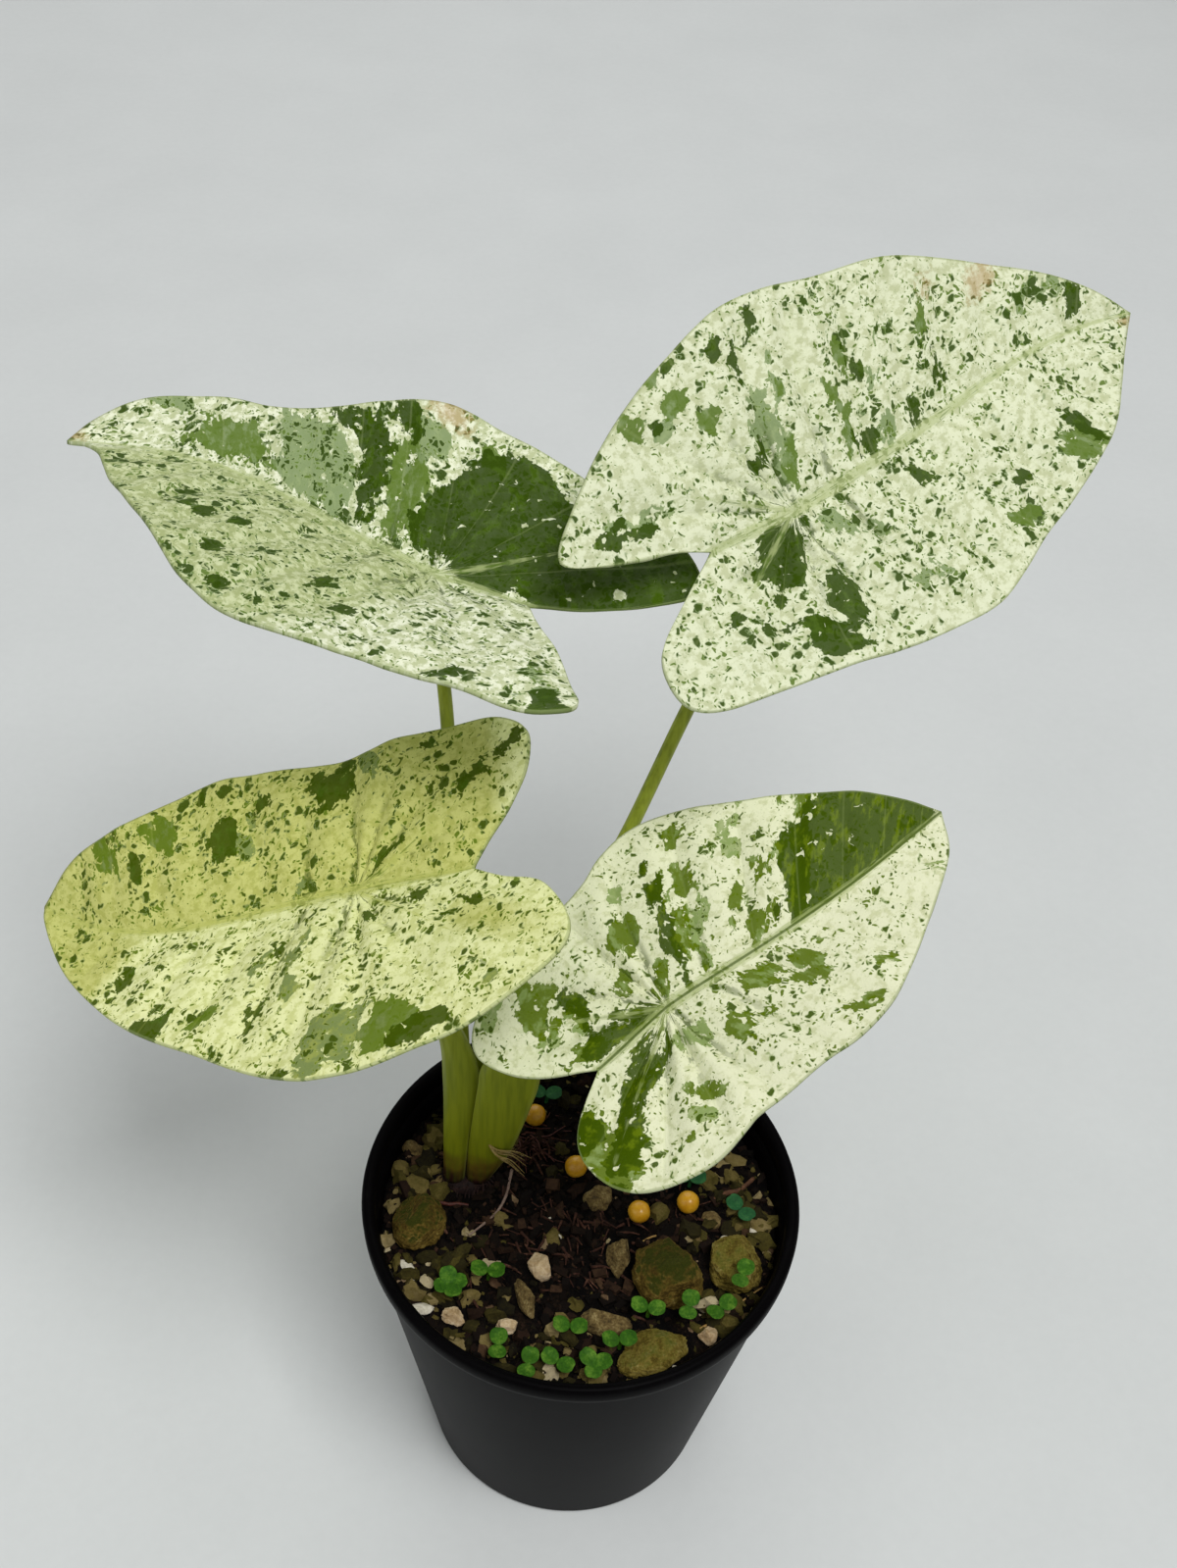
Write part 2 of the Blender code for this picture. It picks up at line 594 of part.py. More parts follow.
def main():
    clear_scene()
    parts = new_collection("Potted alocasia")
    pot_cutters = new_collection("Pot cutters")
    soil_cutters = new_collection("Soil cutters")
    plastic = principled("black_plastic", (0.012, 0.012, 0.014), 0.42)
    bark = principled("soil_mix", (0.035, 0.022, 0.015), 0.95, 0.2)
    corm_skin = principled("corm_skin", (0.06, 0.025, 0.02), 0.8, 0.3)
    blade_skin = principled("leaf_blade", (0.72, 0.78, 0.55), 0.45)
    stalk_skin = principled("leaf_stalk", (0.22, 0.30, 0.05), 0.45)
    seedling_skin = principled("seedling_green", (0.10, 0.36, 0.06), 0.5)
    bead_skin = principled("feed_bead", (0.78, 0.33, 0.02), 0.4)
    stone_skins = {
        "moss_stone": principled("mossy_stone", (0.11, 0.10, 0.03), 0.9, 0.3),
        "brown_stone": principled("brown_stone", (0.20, 0.13, 0.07), 0.85, 0.3),
        "pale_stone": principled("pale_stone", (0.62, 0.52, 0.38), 0.8, 0.3),
    }
    pot = build_pot(parts, pot_cutters, plastic)
    build_corm(parts, soil_cutters, corm_skin)
    stones = build_stones(parts, soil_cutters, stone_skins)
    soil = build_soil(parts, soil_cutters, bark)
    for name, leaf in LEAVES.items():
        build_blade(f"blade_{name}", leaf, parts, blade_skin)
        build_stalk(f"stalk_{name}", leaf, STALKS[name], parts, stalk_skin)
    laid = [soil, pot] + stones
    build_beads(laid, parts, bead_skin)
    build_seedlings(laid, parts, seedling_skin)
    build_twig(laid, parts, bark)
    plant = bpy.data.objects.new("potted_alocasia", None)
    parts.objects.link(plant)
    for obj in parts.objects:
        if obj is not plant:
            obj.parent = plant


main()
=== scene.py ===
"""Looks of a potted alocasia: four speckled heart-shaped leaves on stalks, in a black pot of gritty soil.

Lengths are millimetres until a piece is finished, when MM turns its mesh into metres. Every piece takes its
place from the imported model, which is loaded first as a fixed frame.
"""

import sys

import json
import logging
import math
import random
from collections.abc import Callable, Iterator
from dataclasses import dataclass, field
from enum import Enum
from itertools import islice
from typing import Any

import bmesh
import bpy
from bmesh.types import BMesh, BMVert
from bpy.types import Material, Mesh, Node, NodeSocket, NodeTree, Object
from mathutils import Matrix, Vector, noise
from mathutils.bvhtree import BVHTree
from mathutils.kdtree import KDTree

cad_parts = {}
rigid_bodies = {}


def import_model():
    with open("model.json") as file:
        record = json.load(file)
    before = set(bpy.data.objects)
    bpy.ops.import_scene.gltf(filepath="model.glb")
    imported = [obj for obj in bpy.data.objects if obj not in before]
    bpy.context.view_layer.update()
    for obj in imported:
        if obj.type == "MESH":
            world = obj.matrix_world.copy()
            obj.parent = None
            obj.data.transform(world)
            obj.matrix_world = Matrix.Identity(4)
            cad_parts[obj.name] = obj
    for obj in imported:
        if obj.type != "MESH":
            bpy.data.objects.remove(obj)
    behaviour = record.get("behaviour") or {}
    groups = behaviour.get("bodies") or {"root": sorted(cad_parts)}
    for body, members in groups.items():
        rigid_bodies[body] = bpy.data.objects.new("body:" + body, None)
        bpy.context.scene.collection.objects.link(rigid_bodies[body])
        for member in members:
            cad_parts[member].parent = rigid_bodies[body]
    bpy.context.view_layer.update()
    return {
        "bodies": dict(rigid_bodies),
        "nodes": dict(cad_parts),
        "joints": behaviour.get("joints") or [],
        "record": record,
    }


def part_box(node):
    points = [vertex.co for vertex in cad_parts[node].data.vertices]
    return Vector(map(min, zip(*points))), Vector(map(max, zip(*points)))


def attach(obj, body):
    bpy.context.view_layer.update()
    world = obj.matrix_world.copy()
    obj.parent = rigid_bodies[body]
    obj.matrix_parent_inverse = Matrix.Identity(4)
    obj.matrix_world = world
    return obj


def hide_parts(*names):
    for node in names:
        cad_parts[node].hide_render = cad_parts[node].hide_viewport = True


MM = 0.001
FURROWS = 9  # round a stalk
DOWN = Vector((0, 0, -1))

# Settings that many nodes share, and a colour Mix node's sockets
RGBA = {"data_type": "RGBA"}
SMOOTH_STEP = {"interpolation_type": "SMOOTHSTEP"}
TIMES = {"operation": "MULTIPLY"}
TIMES_PLUS = {"operation": "MULTIPLY_ADD"}
MINUS = {"operation": "SUBTRACT"}
MIX_FACTOR, MIX_A, MIX_B = 0, 6, 7

# What a strand passes through, its half width at the start and at the end, and the faces round it
Strand = tuple[list, float, float, int]

log = logging.getLogger("potted_alocasia")


# Colour and node helpers

def linear(colour: str) -> tuple[float, float, float, float]:
    """Turns an sRGB hex colour into linear RGBA.

    Args:
        colour: The colour as "#rrggbb".

    Returns:
        The linear colour with full alpha.
    """
    parts = [int(colour[i:i + 2], 16) / 255 for i in (1, 3, 5)]
    red, green, blue = (c / 12.92 if c <= 0.04045 else ((c + 0.055) / 1.055) ** 2.4 for c in parts)
    return red, green, blue, 1.0


def join(tree: NodeTree, value: Any, socket: NodeSocket) -> None:
    """Links or sets an input.

    Args:
        tree: The node tree.
        value: A node or socket, which is linked, a hex colour, which is made linear, or a plain value.
        socket: The input.
    """
    if isinstance(value, Node):
        value = value.outputs[2 if value.bl_idname == "ShaderNodeMix" else 0]
    if isinstance(value, NodeSocket):
        tree.links.new(value, socket)
    else:
        socket.default_value = linear(value) if isinstance(value, str) else value


def add_node(tree: NodeTree, kind: str, settings: dict[str, Any] | None = None,
             links: dict[str | int, Any] | None = None) -> Node:
    """Adds one shader node.

    Args:
        tree: The node tree that takes it.
        kind: The node's type name, without ShaderNode before it.
        settings: Properties to set; "stops" gives a colour ramp's (position, hex colour) pairs.
        links: What its inputs are joined to, by name or number.

    Returns:
        The new node.
    """
    node = tree.nodes.new(f"ShaderNode{kind}")
    for name, value in (settings or {}).items():
        if name == "stops":
            ramp = node.color_ramp
            while len(ramp.elements) < len(value):
                ramp.elements.new(0.5)
            for element, (position, colour) in zip(ramp.elements, value):
                element.position = position
                element.color = linear(colour)
        else:
            setattr(node, name, value)
    for name, value in (links or {}).items():
        join(tree, value, node.inputs[name])
    return node


# Lines and surfaces

def curve_through(points: list, steps: int) -> list[Vector]:
    """Points of a Catmull-Rom curve through the given ones.

    Args:
        points: The points to pass through.
        steps: How many parts lie between each two.

    Returns:
        The finer line of points.
    """
    given = [Vector(p) for p in points]
    line = [given[0] * 2 - given[1]] + given + [given[-1] * 2 - given[-2]]
    out = []
    for i in range(1, len(line) - 2):
        p0, p1, p2, p3 = line[i - 1:i + 3]
        for s in range(steps):
            t = s / steps
            out.append(0.5 * (2 * p1 + (p2 - p0) * t + (2 * p0 - 5 * p1 + 4 * p2 - p3) * t * t
                              + (3 * p1 - p0 - 3 * p2 + p3) * t ** 3))
    out.append(given[-1])
    return out


def evenly(points: list[Vector], parts: int) -> list[Vector]:
    """The same line as points an equal length apart.

    Args:
        points: The line.
        parts: How many equal parts it gets.

    Returns:
        The points, one more than the parts.
    """
    lengths = [0.0]
    for a, b in zip(points, points[1:]):
        lengths.append(lengths[-1] + (b - a).length)
    out = []
    i = 0
    for k in range(parts + 1):
        want = lengths[-1] * k / parts
        while i < len(points) - 2 and lengths[i + 1] < want:
            i += 1
        span = max(lengths[i + 1] - lengths[i], 1e-9)
        out.append(points[i].lerp(points[i + 1], min(1.0, (want - lengths[i]) / span)))
    return out


def smooth(low: float, high: float, value: float) -> float:
    """Rises smoothly from 0 at low to 1 at high."""
    t = min(1.0, max(0.0, (value - low) / (high - low)))
    return t * t * (3 - 2 * t)


def mesh_from(bm: BMesh, name: str) -> Mesh:
    """Turns a bmesh in millimetres into a mesh in metres.

    Args:
        bm: The bmesh, which is freed.
        name: The mesh's name.

    Returns:
        The new mesh.
    """
    bmesh.ops.scale(bm, vec=(MM, MM, MM), verts=bm.verts)
    mesh = bpy.data.meshes.new(name)
    bm.to_mesh(mesh)
    bm.free()
    return mesh


def placed(name: str, data: Any) -> Object:
    """Puts a mesh, light or camera in the scene.

    Args:
        name: The new object's name.
        data: What it shows.

    Returns:
        The new object.
    """
    obj = bpy.data.objects.new(name, data)
    bpy.context.scene.collection.objects.link(obj)
    return obj


def finished(bm: BMesh, name: str, finishes: list["Finish"], slot: str,
             nodes: tuple[str, ...] = (), flip: bool = False) -> Object:
    """Makes a piece from a bmesh in millimetres, which then rides on the root body.

    Args:
        bm: The piece's mesh, which is freed.
        name: The piece's name.
        finishes: Its finishes in slot order.
        slot: The record's material slot that it stands for; not used.
        nodes: The CAD nodes that it stands for.
        flip: Turns an open sheet's faces over.

    Returns:
        The new object, at the origin.
    """
    if flip:
        bmesh.ops.reverse_faces(bm, faces=bm.faces)
    mesh = mesh_from(bm, name)
    for finish in finishes:
        mesh.materials.append(finish.material())
    mesh.shade_smooth()
    obj = placed(name, mesh)
    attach(obj, "root")
    if nodes:
        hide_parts(*nodes)
    log.info("%s: %d faces, in place of %s", name, len(mesh.polygons), ", ".join(nodes) or "nothing")
    return obj


def add_tube(bm: BMesh, path: list[Vector], sizes: list[tuple[float, float]], sides: int,
             across: Vector = Vector((1, 0, 0)), ridges: float = 0.0) -> None:
    """Adds a closed tube along a path, made from a grid rolled up round it.

    Args:
        bm: The mesh that takes it.
        path: The middle line.
        sizes: The half widths across and deep at each point of the path.
        sides: Faces round the tube.
        across: The direction that the first half width is measured in.
        ridges: How deep the lengthwise furrows are, as a share of the width.
    """
    last = len(path) - 1
    around = bm.verts.layers.float.get("around") or bm.verts.layers.float.new("around")
    new = bmesh.ops.create_grid(bm, x_segments=sides, y_segments=last, size=0.5)["verts"]
    frames = []
    for i in range(len(path)):
        ahead = (path[min(i + 1, last)] - path[max(i - 1, 0)]).normalized()
        side = (across - ahead * ahead.dot(across)).normalized()
        frames.append((side, ahead.cross(side)))
    for vertex in new:
        i = round((vertex.co.y + 0.5) * last)
        turn = math.tau * (vertex.co.x + 0.5)
        side, deep = frames[i]
        wide, thick = sizes[i]
        furrow = 1.0 - ridges * (0.5 + 0.5 * math.cos(FURROWS * turn + 0.3 * math.sin(3 * turn)))
        vertex[around] = math.cos(turn)
        vertex.co = path[i] + (side * wide * math.cos(turn) + deep * thick * math.sin(turn)) * furrow
    bmesh.ops.remove_doubles(bm, verts=new, dist=0.001)
    new = [v for v in new if v.is_valid]
    edges = {e for v in new for e in v.link_edges if e.is_boundary}
    bmesh.ops.holes_fill(bm, edges=list(edges), sides=0)
    bmesh.ops.recalc_face_normals(bm, faces=list({f for v in new for f in v.link_faces}))


def add_splinter(bm: BMesh, at: Vector, half: Vector, turn: Matrix, draw: random.Random) -> list:
    """Adds one splinter with six uneven sides.

    Args:
        bm: The mesh that takes it.
        at: Its middle.
        half: Its half sizes.
        turn: Its rotation.
        draw: Where its unevenness comes from.

    Returns:
        The splinter's vertices.
    """
    new = bmesh.ops.create_cube(bm, size=1.6)["verts"]
    for vertex in new:
        jitter = Vector(draw.uniform(0.6, 1.15) for _ in range(3))
        vertex.co = at + turn @ Vector(vertex.co[k] * jitter[k] * half[k] for k in range(3))
    return new


def add_lump(bm: BMesh, at: Vector, half: Vector, turn: Matrix, fineness: int, rough: float,
             seed: float) -> list:
    """Adds one lump of grit: an icosphere pushed in and out by noise.

    Args:
        bm: The mesh that takes it.
        at: Its middle.
        half: Its half sizes.
        turn: Its rotation.
        fineness: The icosphere's subdivisions.
        rough: How far the noise moves its surface, as a share of its size.
        seed: What sets its noise apart from others.

    Returns:
        The lump's vertices.
    """
    new = bmesh.ops.create_icosphere(bm, subdivisions=fineness, radius=1.0)["verts"]
    for vertex in new:
        swell = 1.0 + rough * noise.noise(vertex.co * 1.3 + Vector((seed, seed * 0.7, 0)))
        vertex.co = at + turn @ Vector(vertex.co[k] * swell * half[k] for k in range(3))
    return new


class Heap:
    """A mesh of many small pieces, made in batches because operators slow down as a mesh grows."""

    BATCH = 40

    def __init__(self) -> None:
        """Starts an empty heap."""
        self.taken = 0
        self.whole = bmesh.new()
        self.part = self.fresh()

    def fresh(self) -> BMesh:
        """Starts a batch.

        Returns:
            An empty mesh with the heap's layer.
        """
        bm = bmesh.new()
        bm.verts.layers.float.new("tone")
        return bm

    def add(self, make: Callable[[BMesh], list], tone: float) -> None:
        """Adds one piece.

        Args:
            make: A function that makes it in the mesh that it is given, and returns its vertices.
            tone: Its own shade, 0 to 1.
        """
        layer = self.part.verts.layers.float["tone"]
        for vertex in make(self.part):
            vertex[layer] = tone
        self.taken += 1
        if self.taken % self.BATCH == 0:
            self.pour()

    def pour(self) -> None:
        """Moves the batch into the heap."""
        mesh = bpy.data.meshes.new("batch")
        self.part.to_mesh(mesh)
        self.part.free()
        self.whole.from_mesh(mesh)
        bpy.data.meshes.remove(mesh)
        self.part = self.fresh()

    def done(self) -> BMesh:
        """Ends the heap.

        Returns:
            The whole heap, with its faces turned outwards.
        """
        self.pour()
        self.part.free()
        bmesh.ops.recalc_face_normals(self.whole, faces=self.whole.faces)
        return self.whole


# Finishes

@dataclass(frozen=True)
class Finish:
    """A material: its name and the sizes and colours that its pattern is made from."""

    name: str

    def material(self) -> Material:
        """Makes the material, the first time that a piece asks for it.

        Returns:
            The finish's material.
        """
        found = bpy.data.materials.get(self.name)
        if not found:
            found = bpy.data.materials.new(self.name)
            found.use_nodes = True
            self.draw(found.node_tree)
        return found

    def draw(self, tree: NodeTree) -> None:
        """Draws the pattern, each kind of finish its own."""
        raise NotImplementedError

    def overlaid(self, tree: NodeTree, colour: Any, layers: list[tuple],
                 step: dict[str, Any] | None = None) -> Any:
        """Lays coloured layers over a colour.

        Args:
            tree: The material's nodes.
            colour: The colour below.
            layers: Each layer's colour, and then one or more ramps whose product is its cover. A ramp is a
                value, where the value starts to count and counts in full, and how much it then covers.
            step: The settings of the ramps, which run straight without any.

        Returns:
            The colour with the layers on it.
        """
        for tint, *ramps in layers:
            cover = None
            for value, low, high, top in ramps:
                shown = add_node(tree, "MapRange", step, {0: value, 1: low, 2: high, 4: top})
                cover = shown if cover is None else add_node(tree, "Math", TIMES, {0: cover, 1: shown})
            colour = add_node(tree, "Mix", RGBA, {MIX_FACTOR: cover, MIX_A: colour, MIX_B: tint})
        return colour

    def dress(self, tree: NodeTree, colour: Any, height: Any, roughness: float, specular: float,
              strength: float, depth: float) -> None:
        """Gives the shader its colour, sheen and relief.

        Args:
            tree: The material's nodes.
            colour: The pattern's colour.
            height: The pattern's height.
            roughness: The surface's roughness.
            specular: Its specular level.
            strength: The relief's strength.
            depth: The relief's depth in millimetres.
        """
        bump = add_node(tree, "Bump", None, {"Strength": strength, "Distance": depth * MM, "Height": height})
        sockets = tree.nodes["Principled BSDF"].inputs
        join(tree, colour, sockets["Base Color"])
        join(tree, bump, sockets["Normal"])
        join(tree, roughness, sockets["Roughness"])
        join(tree, specular, sockets["Specular IOR Level"])


@dataclass(frozen=True)
class LeafFace(Finish):
    """A variegated aroid leaf's upper face: a living waxy skin, so it has a soft satin sheen over fine grain.

    Green cells lie in it as a pale mist, as round dots with a paler edge, as flecks where the dots crowd, and
    as whole blotches between two veins.
    """

    cream: str = "#e5eac8"
    mist: str = "#dfe1d2"
    # warm: a darker, yellower tint for the warm blotches, partly the leaf's own yellow-green and partly
    # painted shade over a half that lies in shade
    warm: str = "#c6cf92"
    pale: str = "#9dae78"
    grey: str = "#899c6a"
    middle: str = "#637c30"
    dark: str = "#374f06"
    deep: str = "#4a6412"
    rib: str = "#b4c084"
    rim: str = "#93a268"
    scorch: str = "#b98f60"
    midline: float = 0.0
    crowding: float = 0.0
    misting: float = 0.0

    def draw(self, tree: NodeTree) -> None:
        """Draws the cream skin and what lies on it, from the mist up to the veins and the scorched spots.

        Args:
            tree: The material's nodes.
        """
        flat, vein = (add_node(tree, "Attribute", {"attribute_name": name}).outputs["Vector"]
                      for name in ("flat", "vein"))
        (rib, along, index), (dark, middle, grey), (scorched, warmed, green) = (
            add_node(tree, "SeparateXYZ", None, {
                0: add_node(tree, "Attribute", {"attribute_name": name}).outputs["Vector"]}).outputs
            for name in ("ribs", "blots", "tints"))
        # Scales are per millimetre of the flat leaf. The last two run along the side veins.
        near, crowd, haze, splash, ragged = (
            add_node(tree, "TexNoise", None, {
                "Vector": where, "Scale": scale, "Detail": detail, "Roughness": roughness})
            for where, scale, detail, roughness in (
                (flat, 0.7, 0.6, 0.5), (flat, 0.15, 3.0, 0.6), (flat, 0.55, 4.0, 0.65),
                (vein, 0.50, 3.5, 0.62), (vein, 0.30, 4.0, 0.62)))
        place = add_node(tree, "VectorMath", TIMES_PLUS, {
            0: near.outputs["Color"], 1: (2.2, 2.2, 0.0), 2: flat})

        # The warm blotches darken and yellow the skin: partly the leaf's own tint, partly painted shade on
        # the half of a leaf that lies in shade.
        warmth = self.roughened(tree, warmed, ragged, 5.0)
        lit = self.overlaid(tree, self.cream, [(self.warm, (warmth, -3.0, 3.0, 0.85))], SMOOTH_STEP)
        misty = add_node(tree, "MapRange", SMOOTH_STEP, {
            0: haze, 1: 0.44 - self.misting, 2: 0.60 - self.misting})
        lit = add_node(tree, "Mix", RGBA | {"blend_type": "MULTIPLY"}, {
            MIX_FACTOR: misty, MIX_A: lit, MIX_B: self.mist})

        # Dots crowd beside the blotches, and stay away from the clear patches.
        beside = add_node(tree, "MapRange", SMOOTH_STEP, {0: green, 1: -3.0, 2: 0.5})
        clear = add_node(tree, "MapRange", SMOOTH_STEP, {0: green, 1: -4.0, 2: -7.0, 4: 0.055})
        crowd = add_node(tree, "Math", TIMES_PLUS, {0: beside, 1: 0.05, 2: crowd})
        crowd = add_node(tree, "Math", MINUS, {0: crowd, 1: clear})
        layers = [self.blotch(tree, grey, ragged, splash, 13.0, self.grey, self.pale)]
        # Three sizes of dots: the cell in millimetres, how fast and from where they grow as they crowd, and
        # the colours of edge and middle.
        for cell, share, least, halo, core in (
                (0.8, 1.7, 0.280, self.pale, self.middle), (1.25, 1.5, 0.315, self.pale, self.dark),
                (2.0, 1.9, 0.345, self.grey, self.dark)):
            cells = add_node(tree, "TexVoronoi", {"voronoi_dimensions": "2D"}, {
                "Vector": place, "Scale": 1 / cell})
            drawn = add_node(tree, "SeparateColor", None, {0: cells.outputs["Color"]})
            size = add_node(tree, "Math", TIMES, {0: drawn, 1: crowd})
            size = add_node(tree, "Math", TIMES_PLUS, {
                0: size, 1: share, 2: -share * (least - self.crowding)})
            depth = add_node(tree, "Math", MINUS, {0: size, 1: cells.outputs["Distance"]})
            layers += [(halo, (depth, -0.10, 0.0, 0.7)), (core, (depth, 0.01, 0.06, 0.92))]
        fleck = add_node(tree, "Math", TIMES_PLUS, {0: crowd, 1: 0.5, 2: splash})
        hole = add_node(tree, "TexNoise", None, {"Vector": place, "Scale": 0.38, "Detail": 3.0})
        layers += [
            (self.grey, (fleck, 0.910 - self.crowding, 0.925 - self.crowding, 0.85)),
            (self.dark, (fleck, 0.940 - self.crowding, 0.950 - self.crowding, 0.95)),
            self.blotch(tree, middle, ragged, splash, 13.0, self.middle, self.grey),
            self.blotch(tree, dark, ragged, splash, 11.0, self.dark, self.deep),
            (lit, (hole, 0.66, 0.68, 0.9)),
        ]

        # Pale lines run along the side veins, and dark lines run along them where they leave the joint.
        side_vein = add_node(tree, "Math", {"operation": "PINGPONG"}, {0: index, 1: 0.5})
        reach = add_node(tree, "VectorMath", {"operation": "LENGTH"}, {0: flat}).outputs["Value"]
        lengthwise = add_node(tree, "CombineXYZ", None, {
            0: add_node(tree, "Math", TIMES, {0: along, 1: 0.25}),
            1: add_node(tree, "Math", TIMES, {0: rib, 1: 2.6})})
        streak = add_node(tree, "TexNoise", None, {"Vector": lengthwise, "Scale": 1.0, "Detail": 2.0})
        layers += [
            (self.rib, (side_vein, 0.03, 0.008, 0.12)),
            (self.dark, (side_vein, 0.16, 0.05, 1.0), (reach, 22.0, 5.0, 0.8), (splash, 0.46, 0.54, 1.0)),
            (self.rib, (self.roughened(tree, rib, streak, 2.2), 0.35, -0.3, 0.65)),
            (self.middle, (rib, 0.4, 0.0, 1.0), (streak, 0.60, 0.64, 0.6)),
        ]
        if self.midline:
            off = add_node(tree, "Math", {"operation": "ABSOLUTE"}, {
                0: add_node(tree, "SeparateXYZ", None, {0: flat}).outputs["Y"]})
            layers.append((self.dark, (off, 0.34, 0.16, self.midline)))
        edge = add_node(tree, "Attribute", {"attribute_name": "edge"}).outputs["Fac"]
        layers += [
            (self.rim, (edge, 0.45, 0.15, 0.5)),
            (self.scorch, (self.roughened(tree, scorched, haze, 9.0), -0.5, 2.5, 0.5)),
        ]
        skin = add_node(tree, "TexNoise", None, {"Vector": flat, "Scale": 2.2, "Detail": 3.0})
        line = add_node(tree, "MapRange", SMOOTH_STEP, {0: side_vein, 1: 0.03, 2: 0.008, 4: 0.12})
        height = add_node(tree, "Math", TIMES_PLUS, {0: line, 1: -1.6, 2: skin})
        colour = self.overlaid(tree, lit, layers, SMOOTH_STEP)
        self.dress(tree, colour, height, roughness=0.46, specular=0.04, strength=0.4, depth=0.3)

    def blotch(self, tree: NodeTree, depth: Any, ragged: Any, splash: Any, spread: float, tone: str,
               other: str) -> tuple:
        """One kind of blotch, as a layer to lay over the skin.

        Args:
            tree: The material's nodes.
            depth: How deep the place lies in such a blotch.
            ragged: The noise that breaks its edge.
            splash: The noise that its second colour follows.
            spread: How far the noise moves the edge, in millimetres.
            tone: Its main colour.
            other: Its second colour.

        Returns:
            The layer's colour and ramp.
        """
        tint = self.overlaid(tree, tone, [(other, (splash, 0.50, 0.64, 0.8))], SMOOTH_STEP)
        return tint, (self.roughened(tree, depth, ragged, spread), 0.35, 0.6, 0.96)

    def roughened(self, tree: NodeTree, depth: Any, ragged: Any, spread: float) -> Node:
        """Makes a depth ragged.

        Args:
            tree: The material's nodes.
            depth: The depth in millimetres.
            ragged: Noise round 0.5.
            spread: How far the noise moves the depth from end to end.

        Returns:
            The ragged depth.
        """
        push = add_node(tree, "Math", TIMES_PLUS, {0: ragged, 1: spread, 2: -0.5 * spread})
        return add_node(tree, "Math", {"operation": "ADD"}, {0: push, 1: depth})


@dataclass(frozen=True)
class LeafBack(Finish):
    """The leaf's underside: the same skin without the wax, so it is paler, greener and more matt."""

    pale: str = "#c3cf9c"
    green: str = "#a9bb80"
    blotch: str = "#6f8a4c"

    def draw(self, tree: NodeTree) -> None:
        """Draws soft green clouds, with the face's blotches showing through.

        Args:
            tree: The material's nodes.
        """
        flat, blots = (add_node(tree, "Attribute", {"attribute_name": name}).outputs["Vector"]
                       for name in ("flat", "blots"))
        dark, middle, _ = add_node(tree, "SeparateXYZ", None, {0: blots}).outputs
        cells = add_node(tree, "TexNoise", None, {"Vector": flat, "Scale": 0.5, "Detail": 4.0})
        base = add_node(tree, "ValToRGB", {"stops": [(0.35, self.pale), (0.65, self.green)]}, {0: cells})
        deep = add_node(tree, "Math", {"operation": "MAXIMUM"}, {0: dark, 1: middle})
        colour = self.overlaid(tree, base, [(self.blotch, (deep, -0.8, 0.8, 0.75))])
        self.dress(tree, colour, cells, roughness=0.6, specular=0.35, strength=0.3, depth=0.3)


@dataclass(frozen=True)
class StalkSkin(Finish):
    """A juicy leaf stalk: smooth skin with fine lengthwise streaks, olive above and purple-brown below, and a
    painted highlight down the side that faces +x.
    """

    climb: tuple[tuple[float, str], ...] = (
        (0.0, "#2c1512"), (0.05, "#655418"), (0.14, "#7d8414"), (0.5, "#8b9522"), (1.0, "#9aa534"))
    foot: float = 80.0
    top: float = 150.0
    streak: str = "#4c5a10"
    # side: a painted highlight, laid on each stalk's side towards +x
    side: str = "#a9b060"

    def draw(self, tree: NodeTree) -> None:
        """Draws the colours up the stalk, the streaks, and a painted highlight: a paler side towards +x.

        Args:
            tree: The material's nodes.
        """
        around = add_node(tree, "Attribute", {"attribute_name": "around"}).outputs["Fac"]
        place = add_node(tree, "TexCoord").outputs["Object"]
        # A streak is about 1 mm wide and 17 mm long, and a cloud about 5 mm across.
        stretched = add_node(tree, "Mapping", None, {"Vector": place, "Scale": (900.0, 900.0, 60.0)})
        streak = add_node(tree, "TexNoise", None, {"Vector": stretched, "Scale": 1.0, "Detail": 3.0})
        cloud = add_node(tree, "TexNoise", None, {"Vector": place, "Scale": 220.0, "Detail": 2.0})
        height = add_node(tree, "SeparateXYZ", None, {0: place}).outputs["Z"]
        tall = add_node(tree, "Math", TIMES_PLUS, {0: cloud, 1: 0.010, 2: height})
        climb = add_node(tree, "MapRange", None, {0: tall, 1: self.foot * MM, 2: self.top * MM})
        base = add_node(tree, "ValToRGB", {"stops": self.climb}, {0: climb})
        # The side colour is a painted highlight on the +x side of every stalk.
        colour = self.overlaid(tree, base, [
            (self.streak, (streak, 0.42, 0.68, 0.4)), (self.side, (around, 0.8, 1.0, 0.35))])
        self.dress(tree, colour, streak, roughness=0.45, specular=0.2, strength=0.3, depth=0.3)


